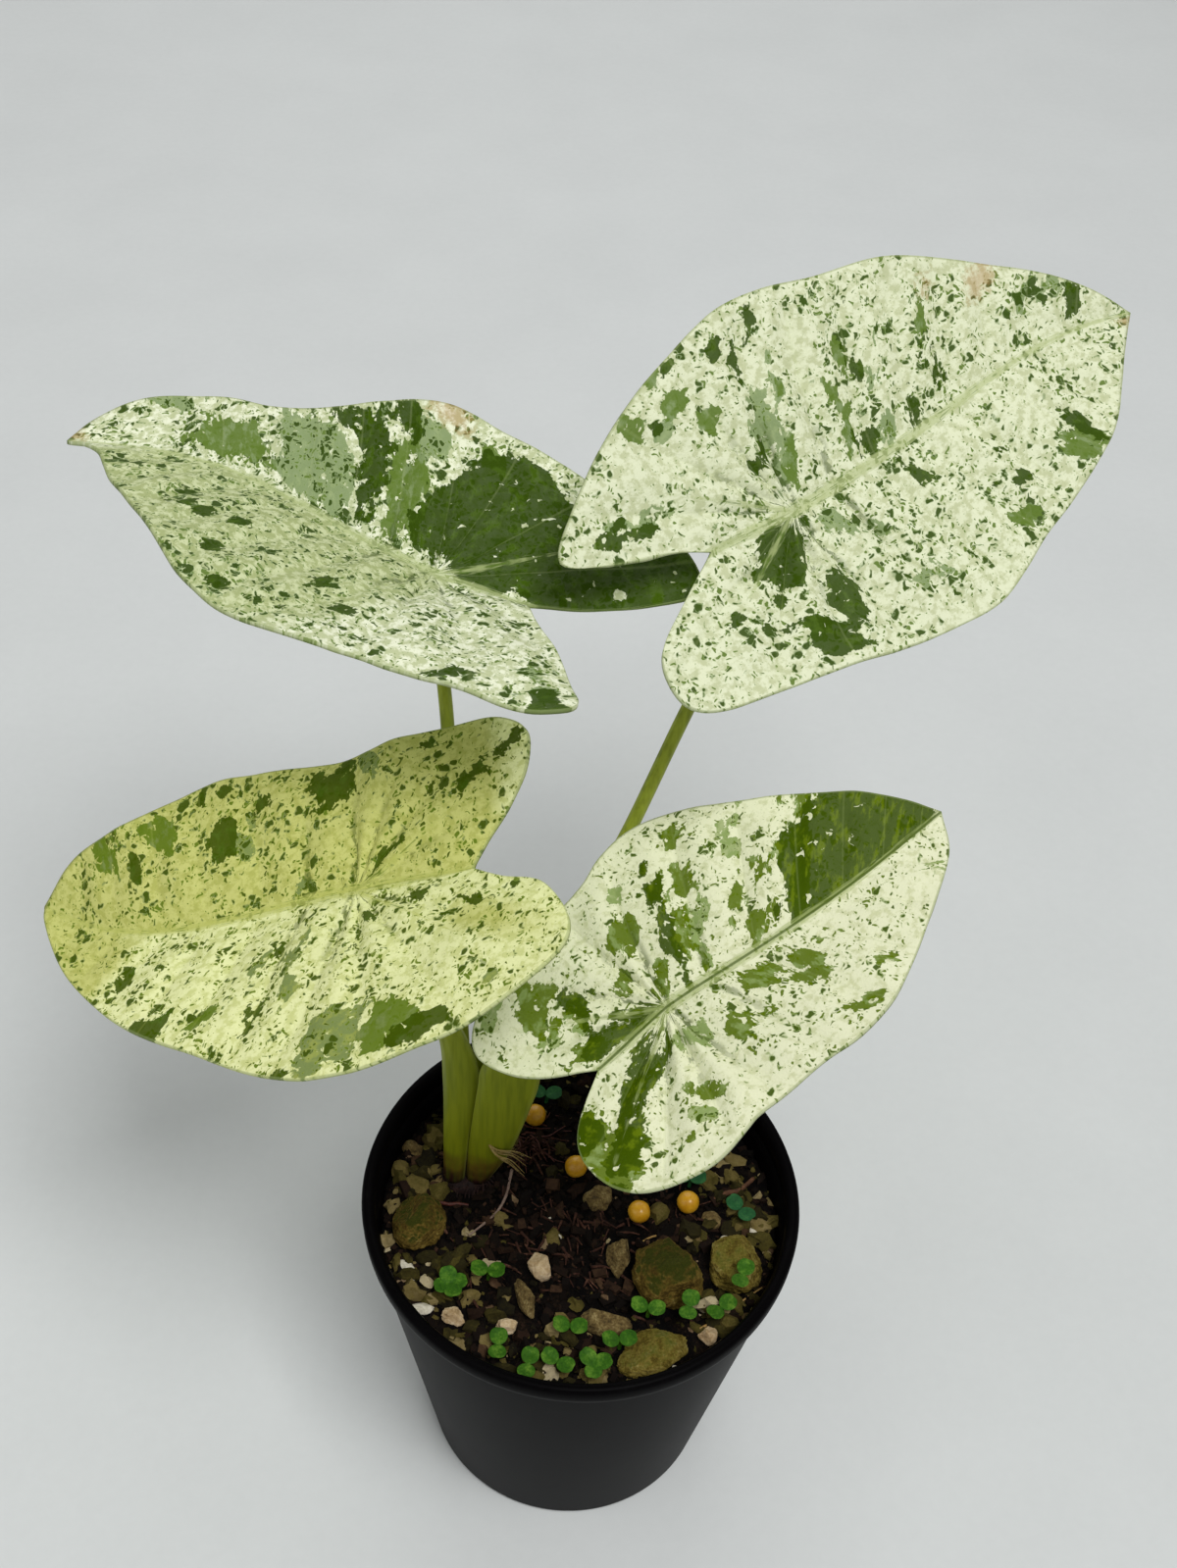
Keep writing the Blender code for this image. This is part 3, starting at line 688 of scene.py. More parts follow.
@dataclass(frozen=True)
class Mottled(Finish):
    """A rough or smooth thing of two or more colours mixed in noise, with a bump of the same grain.

    It dresses stone, bark, roots, soil and grit, whose colours come in patches of a known size. A cap is what
    grows on the upper side, such as moss, and tone lets each bit of a heap have its own shade.
    """

    stops: tuple[tuple[float, str], ...] = ()
    patch: float = 3.0
    grain: float = 0.6
    depth: float = 0.3
    roughness: float = 0.85
    specular: float = 0.3
    cap: str = ""
    cap_low: float = 0.0
    cap_high: float = 1.0
    tone: bool = False
    strength: float = 0.8

    def draw(self, tree: NodeTree) -> None:
        """Draws two grains of noise through the colours, and the cap over them.

        Args:
            tree: The material's nodes.
        """
        place = add_node(tree, "TexCoord").outputs["Object"]
        broad, fine = (
            add_node(tree, "TexNoise", None, {
                "Vector": place, "Scale": 1 / (size * MM), "Detail": detail, "Roughness": roughness})
            for size, detail, roughness in ((self.patch, 4.0, 0.6), (self.grain, 3.0, 0.65)))
        value = add_node(tree, "Math", TIMES_PLUS, {
            0: fine, 1: 0.35, 2: add_node(tree, "Math", TIMES, {0: broad, 1: 0.65})})
        if self.tone:
            own = add_node(tree, "Attribute", {"attribute_name": "tone"}).outputs["Fac"]
            value = add_node(tree, "Math", TIMES_PLUS, {
                0: add_node(tree, "Math", MINUS, {0: value, 1: 0.5}), 1: 0.5, 2: own})
        colour = add_node(tree, "ValToRGB", {"stops": self.stops}, {0: value})
        if self.cap:
            up = add_node(tree, "SeparateXYZ", None, {0: add_node(tree, "TexCoord").outputs["Normal"]})
            high = add_node(tree, "Math", TIMES_PLUS, {0: broad, 1: 1.6, 2: up.outputs["Z"]})
            colour = self.overlaid(tree, colour, [(self.cap, (high, self.cap_low, self.cap_high, 0.92))])
        self.dress(tree, colour, value, self.roughness, self.specular, self.strength, self.depth)


LEAF_BACK = LeafBack("leaf_underside")
STALK_SKIN = StalkSkin("leaf_stalk_skin")
POT_PLASTIC = Mottled(
    # Injection-moulded polypropylene, carbon black: a dull sheen, dusty in faint clouds.
    "black_polypropylene", ((0.3, "#040304"), (0.55, "#070607"), (0.75, "#0e0d0e")),
    patch=14.0, grain=0.8, depth=0.03, roughness=0.42, specular=0.02)
SOIL_MIX = Mottled(
    # Damp peat and bark fines: almost black, matt, crumbly.
    "damp_potting_mix", ((0.40, "#020101"), (0.52, "#080504"), (0.62, "#1a110a"), (0.74, "#33251a")),
    patch=4.0, grain=0.5, depth=0.5, roughness=0.95, specular=0.12)
BARK_BITS = Mottled(
    # Composted bark chips: fibrous, matt, dark red-brown with some greyed pieces.
    "composted_bark", ((0.0, "#050302"), (0.35, "#120b07"), (0.6, "#271911"), (0.8, "#4c3726"),
                       (1.0, "#8a7458")),
    patch=1.6, grain=0.35, depth=0.25, roughness=0.92, specular=0.12, tone=True)
GRIT_BITS = Mottled(
    # Washed river grit under a film of algae: matt, from olive-brown to beige, now and then pale.
    "algae_stained_grit", ((0.0, "#120e05"), (0.25, "#2a250c"), (0.45, "#4b431a"), (0.62, "#6b5d33"),
                           (0.82, "#85754f"), (1.0, "#b3a584")),
    patch=1.8, grain=0.45, depth=0.3, roughness=0.9, specular=0.15, tone=True)
CORM_SKIN = Mottled(
    # A corm's papery, fibrous skin: dull purple-brown.
    "corm_papery_skin", ((0.3, "#0e0504"), (0.5, "#1f0e0c"), (0.7, "#3d241a")),
    patch=1.5, grain=0.4, depth=0.3, roughness=0.8, specular=0.3)
PALE_ROOT = Mottled(
    # A dry aerial root: corky grey-pink.
    "corky_root", ((0.3, "#4c3a31"), (0.5, "#7d675c"), (0.7, "#9d887a")),
    patch=1.2, grain=0.4, depth=0.1, roughness=0.75, specular=0.3)
RED_ROOT = Mottled(
    # Fine wet roots: dark reddish brown, a little shiny.
    "red_brown_root", ((0.3, "#2a0f0b"), (0.6, "#55241a"), (0.8, "#7d4433")),
    patch=1.0, grain=0.4, depth=0.1, roughness=0.6, specular=0.4)
BROWN_ROOT = Mottled(
    # Dead feeder roots: thin, dry and brown.
    "dry_feeder_root", ((0.3, "#180c08"), (0.52, "#3e241a"), (0.72, "#7a5644")),
    patch=2.4, grain=0.5, depth=0.1, roughness=0.85, specular=0.2)
DRY_FIBRE = Mottled(
    # The frayed rest of an old leaf sheath: straw-brown fibre.
    "dry_sheath_fibre", ((0.3, "#6b5528"), (0.5, "#96804a"), (0.75, "#bfae7c")),
    patch=1.0, grain=0.3, depth=0.1, roughness=0.8, specular=0.25)
TWIG_BARK = Mottled(
    # A dry twig: brown bark with lighter scuffs.
    "dry_twig_bark", ((0.3, "#38221a"), (0.55, "#5a3a25"), (0.75, "#8a6446")),
    patch=1.5, grain=0.3, depth=0.15, roughness=0.8, specular=0.3)
STRAW = Mottled(
    # A dead grass stem: pale tan.
    "dry_grass_stem", ((0.3, "#7d5f33"), (0.55, "#a5824a"), (0.8, "#c7a870")),
    patch=2.0, grain=0.3, depth=0.1, roughness=0.7, specular=0.3)
MOSSY_DARK = Mottled(
    # Porous stone under dark moss: green on top, ochre where the moss has died.
    "mossy_stone_dark", ((0.3, "#241a08"), (0.44, "#4e3e16"), (0.56, "#75602a"), (0.68, "#a08e50")),
    patch=3.0, grain=0.55, depth=0.9, roughness=0.95, specular=0.1,
    cap="#262e06", cap_low=1.35, cap_high=1.75)
MOSSY_OCHRE = Mottled(
    # The same stone with thin, mostly dead moss.
    "mossy_stone_ochre", ((0.3, "#2c240a"), (0.44, "#5c4f1c"), (0.56, "#887739"), (0.68, "#b3a468")),
    patch=2.4, grain=0.55, depth=0.9, roughness=0.95, specular=0.1,
    cap="#3d460e", cap_low=1.55, cap_high=2.05)
BROWN_STONE = Mottled(
    # Lava grit: matt tan-brown, pitted.
    "brown_lava_stone", ((0.3, "#2e2412"), (0.48, "#5f4d2a"), (0.6, "#7d6b42"), (0.72, "#a39469")),
    patch=2.0, grain=0.5, depth=0.5, roughness=0.9, specular=0.25)
PALE_STONE = Mottled(
    # Pumice and quartz grit: cream, slightly stained.
    "pale_pumice", ((0.28, "#6b5638"), (0.42, "#a98d66"), (0.58, "#cdb693"), (0.75, "#e6dac2")),
    patch=2.4, grain=0.5, depth=0.35, roughness=0.8, specular=0.3)
WHITE_GRIT = Mottled(
    # Perlite crumbs: chalky off-white.
    "perlite_crumb", ((0.3, "#a99f8c"), (0.5, "#cfc7b4"), (0.7, "#ece6d8")),
    patch=1.2, grain=0.4, depth=0.2, roughness=0.85, specular=0.3)
FEED_COAT = Mottled(
    # A resin-coated feed bead: glossy amber skin.
    "resin_feed_coat", ((0.3, "#b87a10"), (0.5, "#d39a1c"), (0.7, "#e5b23c")),
    patch=2.6, grain=0.7, depth=0.05, roughness=0.3, specular=0.5)
SEED_LEAF = Mottled(
    # A young seed leaf: thin, bright and smooth.
    "young_seed_leaf", ((0.3, "#1c400a"), (0.5, "#345f12"), (0.7, "#648a2c")),
    patch=2.2, grain=0.5, depth=0.06, roughness=0.55, specular=0.1)
SEED_LEAF_PAINTED_SHADE = Mottled(
    # A darker, bluer copy of the seed leaf: painted shade for the seedlings under the plant.
    "seed_leaf_painted_shade", ((0.3, "#163d22"), (0.5, "#23552e"), (0.7, "#3f703c")),
    patch=2.2, grain=0.5, depth=0.06, roughness=0.55, specular=0.1)
PAPER_FLOOR = Mottled(
    # A sheet of matt studio paper.
    "studio_paper", ((0.3, "#d4d7d6"), (0.7, "#dadddc")),
    patch=60.0, grain=3.0, depth=0.02, roughness=0.9, specular=0.1)


# Leaves

class Half(Enum):
    """A leaf's two halves, seen from above with the tip ahead."""

    LEFT = 1
    RIGHT = -1


class Tone(Enum):
    """What a blotch on a leaf is filled with."""

    DARK = 0
    MIDDLE = 1
    GREY = 2
    SCORCHED = 3
    # A darker yellow tint: partly the leaf's own, partly painted shade
    WARM = 4
    CLEAR = 5


BEND = 0.003  # how fast a side vein turns forward
VEIN_STEP = 9.5  # between side veins, along the midrib
BACK_VEINS = 4  # side veins of a back lobe
LOBE_RIB = math.radians(60)
FAN_REACH = 16.0  # where the side veins that fan out from the joint lie as far apart as along the midrib
GRAIN_STRETCH = 0.55  # green cells spread further along a side vein than across it
HALVES_APART = 40.0  # so that the grain of one half doesn't mirror the other's
RIB_TIP, RIB_MORE = 0.25, 1.0  # the midrib's painted half width at the tip, and what the joint adds
BACK_TAPER = 2.5  # how much faster the midrib narrows behind the joint
LOBE_FROM = 0.3  # the angle from which a place belongs to a back lobe
LOBE_RIB_TIP, LOBE_RIB_MORE = -0.2, 0.7  # the same of a lobe's rib, which ends before the margin
LOBE_RIB_REACH = 34.0  # how far what the joint adds to it reaches
DEEPEST = 3.0  # how far in or out a blotch's depth counts


@dataclass(frozen=True)
class VeinPlace:
    """A place on a leaf in the run of its side veins: across them, along them, and the back lobe's angle."""

    across: float
    along: float
    angle: float

    @classmethod
    def at(cls, x: float, v: float, run: tuple[float, float, float]) -> "VeinPlace":
        """Finds the place of a point of the flat leaf.

        Args:
            x: Millimetres from the joint towards the tip.
            v: Millimetres from the midrib.
            run: How far a side vein runs forward for each millimetre outwards, at the joint and at the tip,
                and the tip's distance.

        Returns:
            The place.
        """
        near, far, reach = run
        start = x - near * abs(v) - BEND * v * v
        if start > 0:
            return cls(start / (1 + (far - near) * abs(v) / reach), abs(v), 0.0)
        return cls(0.0, math.hypot(start, v), math.atan2(-start, abs(v)) if start else 0.0)

    def index(self) -> float:
        """The place counted in side veins, forward of the joint or back round a lobe."""
        return self.across / VEIN_STEP - self.angle / (math.pi / 2) * BACK_VEINS

    def depth_in(self, middle: "VeinPlace", long: float, wide: float) -> float:
        """How deep this place lies in a blotch, in millimetres.

        Args:
            middle: The blotch's middle.
            long: Its half length along the veins.
            wide: Its half width across them.

        Returns:
            The depth, negative outside.
        """
        across = (self.across - middle.across - (self.angle - middle.angle) * self.along) / wide
        along = (self.along - middle.along) / long
        reach = (abs(across) ** 3 + abs(along) ** 3) ** (1 / 3)
        return max(-DEEPEST, min(DEEPEST, (1 - reach) * min(long, wide)))


@dataclass(frozen=True)
class LeafShape:
    """One leaf's shape, lay and blotches.

    Angles are degrees and a curl is degrees per 10 mm. The midrib sways to the left by the first number of
    sway, and margins are measured from it. A blotch is (x, from midrib, half length, half width).
    """

    joint: tuple[float, float, float]
    yaw: float
    pitch: float
    roll: float
    fold: tuple[float, float]
    curl: tuple[float, float]
    arch: tuple[float, float]
    sway: tuple[float, float]
    lean: tuple[float, float]
    left: list[tuple[float, float]]
    right: list[tuple[float, float]]
    branch: tuple[float, float]
    face: LeafFace
    blotches: dict[Tone, tuple[tuple[float, float, float, float], ...]]
    quilting: float = 0.3
    slot: str = "leaf_blade"

    def vein_place(self, x: float, v: float) -> VeinPlace:
        """The place of a point of the flat leaf in the run of its side veins."""
        return VeinPlace.at(x, v, (*self.branch, self.left[0][0]))

    def frame(self) -> Matrix:
        """Lays out the leaf's frame.

        Returns:
            The frame: x to the tip, y to its left half, z out of its upper face.
        """
        turn = (Matrix.Rotation(math.radians(self.yaw), 4, "Z")
                @ Matrix.Rotation(-math.radians(self.pitch), 4, "Y")
                @ Matrix.Rotation(math.radians(self.roll), 4, "X"))
        return Matrix.Translation(Vector(self.joint)) @ turn

    def midrib(self, x: float) -> float:
        """How far the midrib sways from the straight line through the joint.

        Args:
            x: Millimetres from the joint towards the tip.

        Returns:
            The distance to the left, in millimetres.
        """
        if x <= 0:
            return self.lean[1] * x / self.left[-1][0]
        sway, power = self.sway
        reach = min(1.0, x / self.left[0][0])
        return sway * math.sin(math.pi * reach ** power) + self.lean[0] * reach ** 2

    def laid(self, x: float, v: float, lift: float = 0.0) -> Vector:
        """Where a point of the flat leaf lies once its half is folded up and curled, and the midrib arched.

        Args:
            x: Millimetres from the joint towards the tip.
            v: Millimetres from the midrib, positive in the left half.
            lift: How far it stands out of the upper face.

        Returns:
            The point in the leaf's frame.
        """
        half, which = (Half.LEFT, 0) if v >= 0 else (Half.RIGHT, 1)
        fold = math.radians(self.fold[which])
        curl = math.radians(self.curl[which]) / 10
        lean = fold - curl * abs(v)
        upright = lean * smooth(0.0, 5.0, abs(v))
        across = (math.sin(fold) - math.sin(lean)) / curl - math.sin(upright) * lift
        rise = (math.cos(lean) - math.cos(fold)) / curl + math.cos(upright) * lift
        arch = math.radians(self.arch[0] if x > 0 else -self.arch[1]) / 10
        along = arch * x
        return Vector((
            math.sin(along) / arch + math.sin(along) * rise,
            self.midrib(x) + half.value * across,
            (math.cos(along) - 1) / arch + math.cos(along) * rise,
        ))


LEAVES: dict[str, LeafShape] = {
    "back_left": LeafShape(
        joint=(-33.5, 40.0, 207.0), yaw=159, pitch=5, roll=8, fold=(16, 22), curl=(4.6, -1.5),
        arch=(0.8, 0.8), sway=(-8.0, 1.5), lean=(-2.0, -1.0),
        left=[(76, 0), (67.5, 7), (59, 18), (49, 27), (39, 34.5), (29.5, 39), (18, 40.5), (7, 38.5),
              (-5, 36), (-18, 35.5), (-29, 35.5), (-36.5, 33), (-38.5, 29.5), (-35, 23.5),
              (-29, 15), (-22, 7), (-17.5, 0)],
        right=[(76, 0), (74, -7), (67.5, -13), (58, -15), (47, -16.5), (36.5, -21.5), (26, -27.5),
               (13.5, -34), (1, -33.5), (-10, -30.5), (-22, -27.5), (-34, -24), (-41.5, -18.5),
               (-44, -12.5), (-37, -7.5), (-26, -3), (-17.5, 0)],
        branch=(0.25, 0.6),
        # Its cream is brighter than the other leaves': painted light on its far half, which lies in shade.
        # Its mist is darker and covers more: painted shade on its near half.
        face=LeafFace("leaf_face_back_left", cream="#eff3d6", warm="#ccd5a0", mist="#d0d5bd", dark="#324a00",
                      deep="#45600c", crowding=0.022, misting=0.03),
        blotches={
            Tone.DARK: (
                (-6, -15, 15, 13), (21.5, -15, 10.5, 3.8), (29.5, -22, 3, 5.5), (19.5, -27, 4, 2.5),
                (-28, -12, 20, 10), (5, 26, 2, 2.5), (-17, 33, 1.5, 3), (24.5, 35.5, 2, 3),
                (19, 35, 1.5, 1.5), (40, 19, 1.8, 3.8), (31, 18, 1.6, 2.4), (-33, 31, 3, 2),
                (-36, 33, 2.5, 4), (12, 33, 1.5, 1.5), (30, 28, 1.8, 3), (47, 15, 1.4, 2.4),
                (10, 22, 1.6, 2.6), (2, 31, 1.6, 2)),
            Tone.MIDDLE: ((49, -7, 4.5, 9), (13, -13, 10, 4.5), (1, -27, 3, 3)),
            Tone.GREY: ((32, -10, 9, 9), (14, -24, 6, 4), (64, -13, 2, 6), (-30, 27, 7, 1.5), (24, -7, 6, 3)),
            Tone.SCORCHED: ((13, -32, 3, 5), (75, -2, 3, 2)),
            # Over the near half, which lies in shade: partly painted shade
            Tone.WARM: ((38, 18, 28, 36),),
        }),
    "back_right": LeafShape(
        joint=(28.5, 48.7, 219.0), yaw=38, pitch=10, roll=38, fold=(10, 12), curl=(1.6, 0.5),
        arch=(-0.8, 0.1), sway=(3.2, 2.2), lean=(0.0, 1.0),
        left=[(77.5, 0), (71.5, 6.5), (63.5, 13), (55, 18.5), (45, 25), (35.5, 30), (24.5, 33),
              (13.5, 36), (3, 36.5), (-8, 33), (-16.5, 29.5), (-26.5, 24), (-36.5, 16.5), (-42, 11),
              (-41, 8), (-32.5, 5), (-24.5, 3), (-17.5, 0)],
        right=[(77.5, 0), (71, -8.5), (62.5, -18.5), (54.5, -23.5), (45.5, -27), (37, -29),
               (29.5, -31.5), (21.5, -33.5), (12, -32.5), (1, -30.5), (-10, -28.5), (-21.5, -27),
               (-31.5, -25.5), (-37, -22.5), (-38, -17.5), (-35.5, -11.5), (-26.5, -5.5), (-17.5, 0)],
        branch=(0.08, 0.5),
        face=LeafFace("leaf_face_back_right"),
        blotches={
            Tone.DARK: (
                (35.5, 10.5, 2.8, 1.1), (38.5, 8.5, 3.5, 1.8), (31, 3.5, 2.5, 1.3), (68, 5, 4, 2.2),
                (18.5, 3.5, 2.5, 2), (23, 15.5, 4.5, 0.8), (3, 27.5, 3.5, 1.6), (0, 30.5, 1.8, 2),
                (-8.5, 31.5, 1.5, 3), (-16, 23.5, 1.5, 1.5), (-1.5, 10, 2.5, 2), (8.5, 32, 2.2, 0.8),
                (-32, 9, 9, 1.8), (-30, 11, 1.5, 1.5), (-27, 17.5, 2.2, 1), (-7, -6.5, 8, 4.5),
                (-12.6, -12.8, 2, 1.5), (-21.8, -12.7, 3, 1.5), (-1.3, -18.5, 6, 3), (-7.5, -23.5, 4, 5),
                (-13, -17.8, 1.8, 2.5), (56, -16, 4.5, 2), (58.5, -8, 1.2, 3.5), (24.5, -5.5, 2.5, 1.5),
                (39, -18, 1.5, 2.5), (40, -9, 1.3, 1.5), (40, -11.5, 1.3, 1.5)),
            Tone.MIDDLE: (
                (38.5, 15.5, 3.5, 1.5), (17, 12, 7.5, 1.3), (21, 16.5, 4.5, 1.6), (-12, 31.5, 2, 2),
                (-19.5, 25.5, 3.4, 2.4), (-11, 25.5, 1.8, 3), (-5.5, 21.5, 2.2, 2), (3.5, 7.5, 7, 1.2),
                (-10, -21, 2, 2), (37, -24, 2, 3), (54, -18.5, 4, 4)),
            Tone.GREY: (
                (64, 9.5, 1.5, 4), (-15, 22, 2, 2), (25, 7.5, 6, 1.3), (3, 14.5, 10, 3), (-29, 10.5, 7, 1.3),
                (12, -10.5, 2.5, 1.5), (5, -5, 3, 2), (12, -22, 1.5, 2), (17, -23, 1.5, 2)),
            Tone.SCORCHED: ((53.5, 16, 3.5, 4), (43, 20.5, 2, 2), (76, -2, 2, 2)),
            Tone.CLEAR: ((-20, 14, 12, 16), (41, -6, 8, 8), (10, 24, 7, 6)),
        },
        quilting=0.55),
    "front_left": LeafShape(
        joint=(-44.0, 5.0, 162.0), yaw=168, pitch=-26, roll=-2, fold=(2, 40), curl=(5.0, 10.0),
        arch=(-1.6, 0.1), sway=(6.8, 1.4), lean=(1.0, -2.0),
        left=[(67.5, 0), (65, 3.5), (56.5, 11), (46, 17), (34, 23.5), (21, 30), (9.5, 36), (0, 39),
              (-10, 38.5), (-20.5, 36), (-29.5, 33.5), (-37.5, 29), (-43.5, 23.5), (-46, 18.5),
              (-44, 12.5), (-38, 6), (-30, 3.5), (-23.5, 0)],
        right=[(67.5, 0), (62, -11.5), (53, -18.5), (44.5, -24.5), (34.5, -28.5), (23, -28),
               (12.5, -27.5), (2, -27), (-8, -28), (-19, -29), (-27.5, -28), (-33, -23.5),
               (-33.5, -16), (-30.5, -10), (-26.5, -5), (-23.5, 0)],
        branch=(0.0, 0.45),
        face=LeafFace("leaf_face_front_left", cream="#eef2b4", mist="#e4e6d0", warm="#c6c86e", pale="#9fa950",
                      grey="#7d8e50", middle="#647c1c", dark="#425602", rib="#bcc268", crowding=0.001),
        blotches={
            Tone.DARK: (
                (6, -21.5, 4.5, 5), (9.5, -18, 3, 1.2), (27, -16, 5, 3), (46, -11.5, 3.5, 1.3),
                (-14.5, -17, 2.2, 2), (-23, -16.5, 4, 1.5), (-29.5, -23, 4.5, 1.4), (-14, -25.5, 1.5, 2),
                (-6, -5.5, 4, 1.2), (20.5, -21.5, 1.3, 1.3), (32, -26, 1, 4), (-21, 32.5, 2.6, 5),
                (33, 23, 3, 3.5), (42, 10.5, 2.5, 2), (13, 25.5, 2.5, 1.2), (11.5, 11, 4, 1),
                (-24.5, 6.5, 4.5, 1.3), (-13.5, 4.8, 4, 0.7), (-4.5, 7, 1.6, 1.1), (-4, 12.5, 2.5, 1),
                (5, 37, 1.3, 1.5)),
            Tone.MIDDLE: ((42, -18.5, 4, 4), (54, -14, 4, 4), (-15, 30.5, 4.5, 6.5), (23.5, 22.5, 2.2, 2.2)),
            Tone.GREY: (
                (-1, -24, 3, 3), (24, -15, 4, 3), (10, -3, 1.5, 1.5), (-5, 31.5, 6, 6), (8, 14, 4.5, 2),
                (14, 12, 2.5, 1.2), (5, 21, 2, 2), (-33, 25, 2, 2)),
            # The first covers the far half, which lies in shade: partly painted shade
            Tone.WARM: ((20, -14, 30, 60), (60, 3, 8, 12), (54, 9, 10, 9), (-30, 12, 8, 3)),
        },
        slot="leaf_blade_yellow"),
    "front_right": LeafShape(
        joint=(12.5, -7.0, 150.0), yaw=34, pitch=26, roll=8, fold=(8, 4), curl=(5.2, -3.5),
        arch=(2.6, 1.3), sway=(-2.3, 1.1), lean=(0.0, -1.5),
        left=[(62.5, 0), (58.5, 6.5), (52, 14), (43, 21), (34, 26.5), (25, 32), (16, 34), (8, 32.5),
              (0, 29), (-10, 28.5), (-20, 27), (-29, 23), (-32.5, 18), (-30.5, 12), (-25.5, 6), (-16.5, 0)],
        right=[(62.5, 0), (58, -7), (49, -13), (40.5, -18), (31, -23), (22, -25.5), (12, -26),
               (3, -27), (-7, -29), (-16, -27), (-23, -23), (-27, -17.5), (-28, -10.5), (-25, -5),
               (-16.5, 0)],
        branch=(0.15, 1.2),
        face=LeafFace("leaf_face_front_right", cream="#eaecc9", mist="#e6e8da", pale="#b0bb86",
                      grey="#8ba05c", middle="#5d7300", dark="#3e5400", deep="#667a00", rib="#a9b674",
                      midline=0.75, crowding=-0.042, misting=-0.04),
        blotches={
            Tone.DARK: (
                (47, 7, 13, 16.5), (58, 3, 6, 7), (-8, 2.5, 10, 3.2), (-12.5, -8, 12, 3.4),
                (-20, -14, 9, 3.2), (-27, -7.5, 6, 4.2), (8.5, 11, 10, 1.6), (-13.5, 12.5, 5, 2.8)),
            Tone.MIDDLE: (
                (36, 9, 14, 3), (11, 12, 9, 1.8), (15.5, 18, 2.6, 2.4), (2.5, 16.5, 4, 3),
                (-2, 15.5, 2.5, 1.8), (-3, 9.5, 2.5, 2), (3.5, 6, 2, 1.4), (23.5, 12, 4.5, 1.6),
                (22.5, 6.5, 4.5, 2), (29, 9.5, 4.5, 1.5), (1, 2.5, 2.5, 1.8), (-15, 11.5, 5, 2.6),
                (-19, 17.5, 5.5, 4), (-17, 4.5, 4, 2), (20.5, 28, 2.5, 1.8), (-14.5, -9, 9, 2.5),
                (-25, -16, 10, 4.5), (-27, -9, 7, 5), (7.5, -12, 2.6, 2.4), (16.5, -6, 3.2, 3),
                (23, -6, 2.8, 2.6), (23, -10, 2.5, 2.6), (28.5, -5, 1, 2.5), (-4, -17, 2.5, 3),
                (-11.5, -22, 1.3, 1.3), (13.5, -11, 2, 1), (34, -16, 1.5, 1.5), (27, -20, 1.5, 1.5)),
            Tone.GREY: (
                (13, 9.5, 6, 2.5), (32.5, 13, 1.5, 1.5), (-16, 8.5, 4, 2), (-26, 22, 3, 3), (0, -7.5, 3, 3.5),
                (-6, -21, 2, 2), (53, -7, 1.4, 1.4), (6, 24, 3, 2), (27, 19, 2, 1.6), (30, 24, 1.6, 2)),
        },
        quilting=0.5),
}


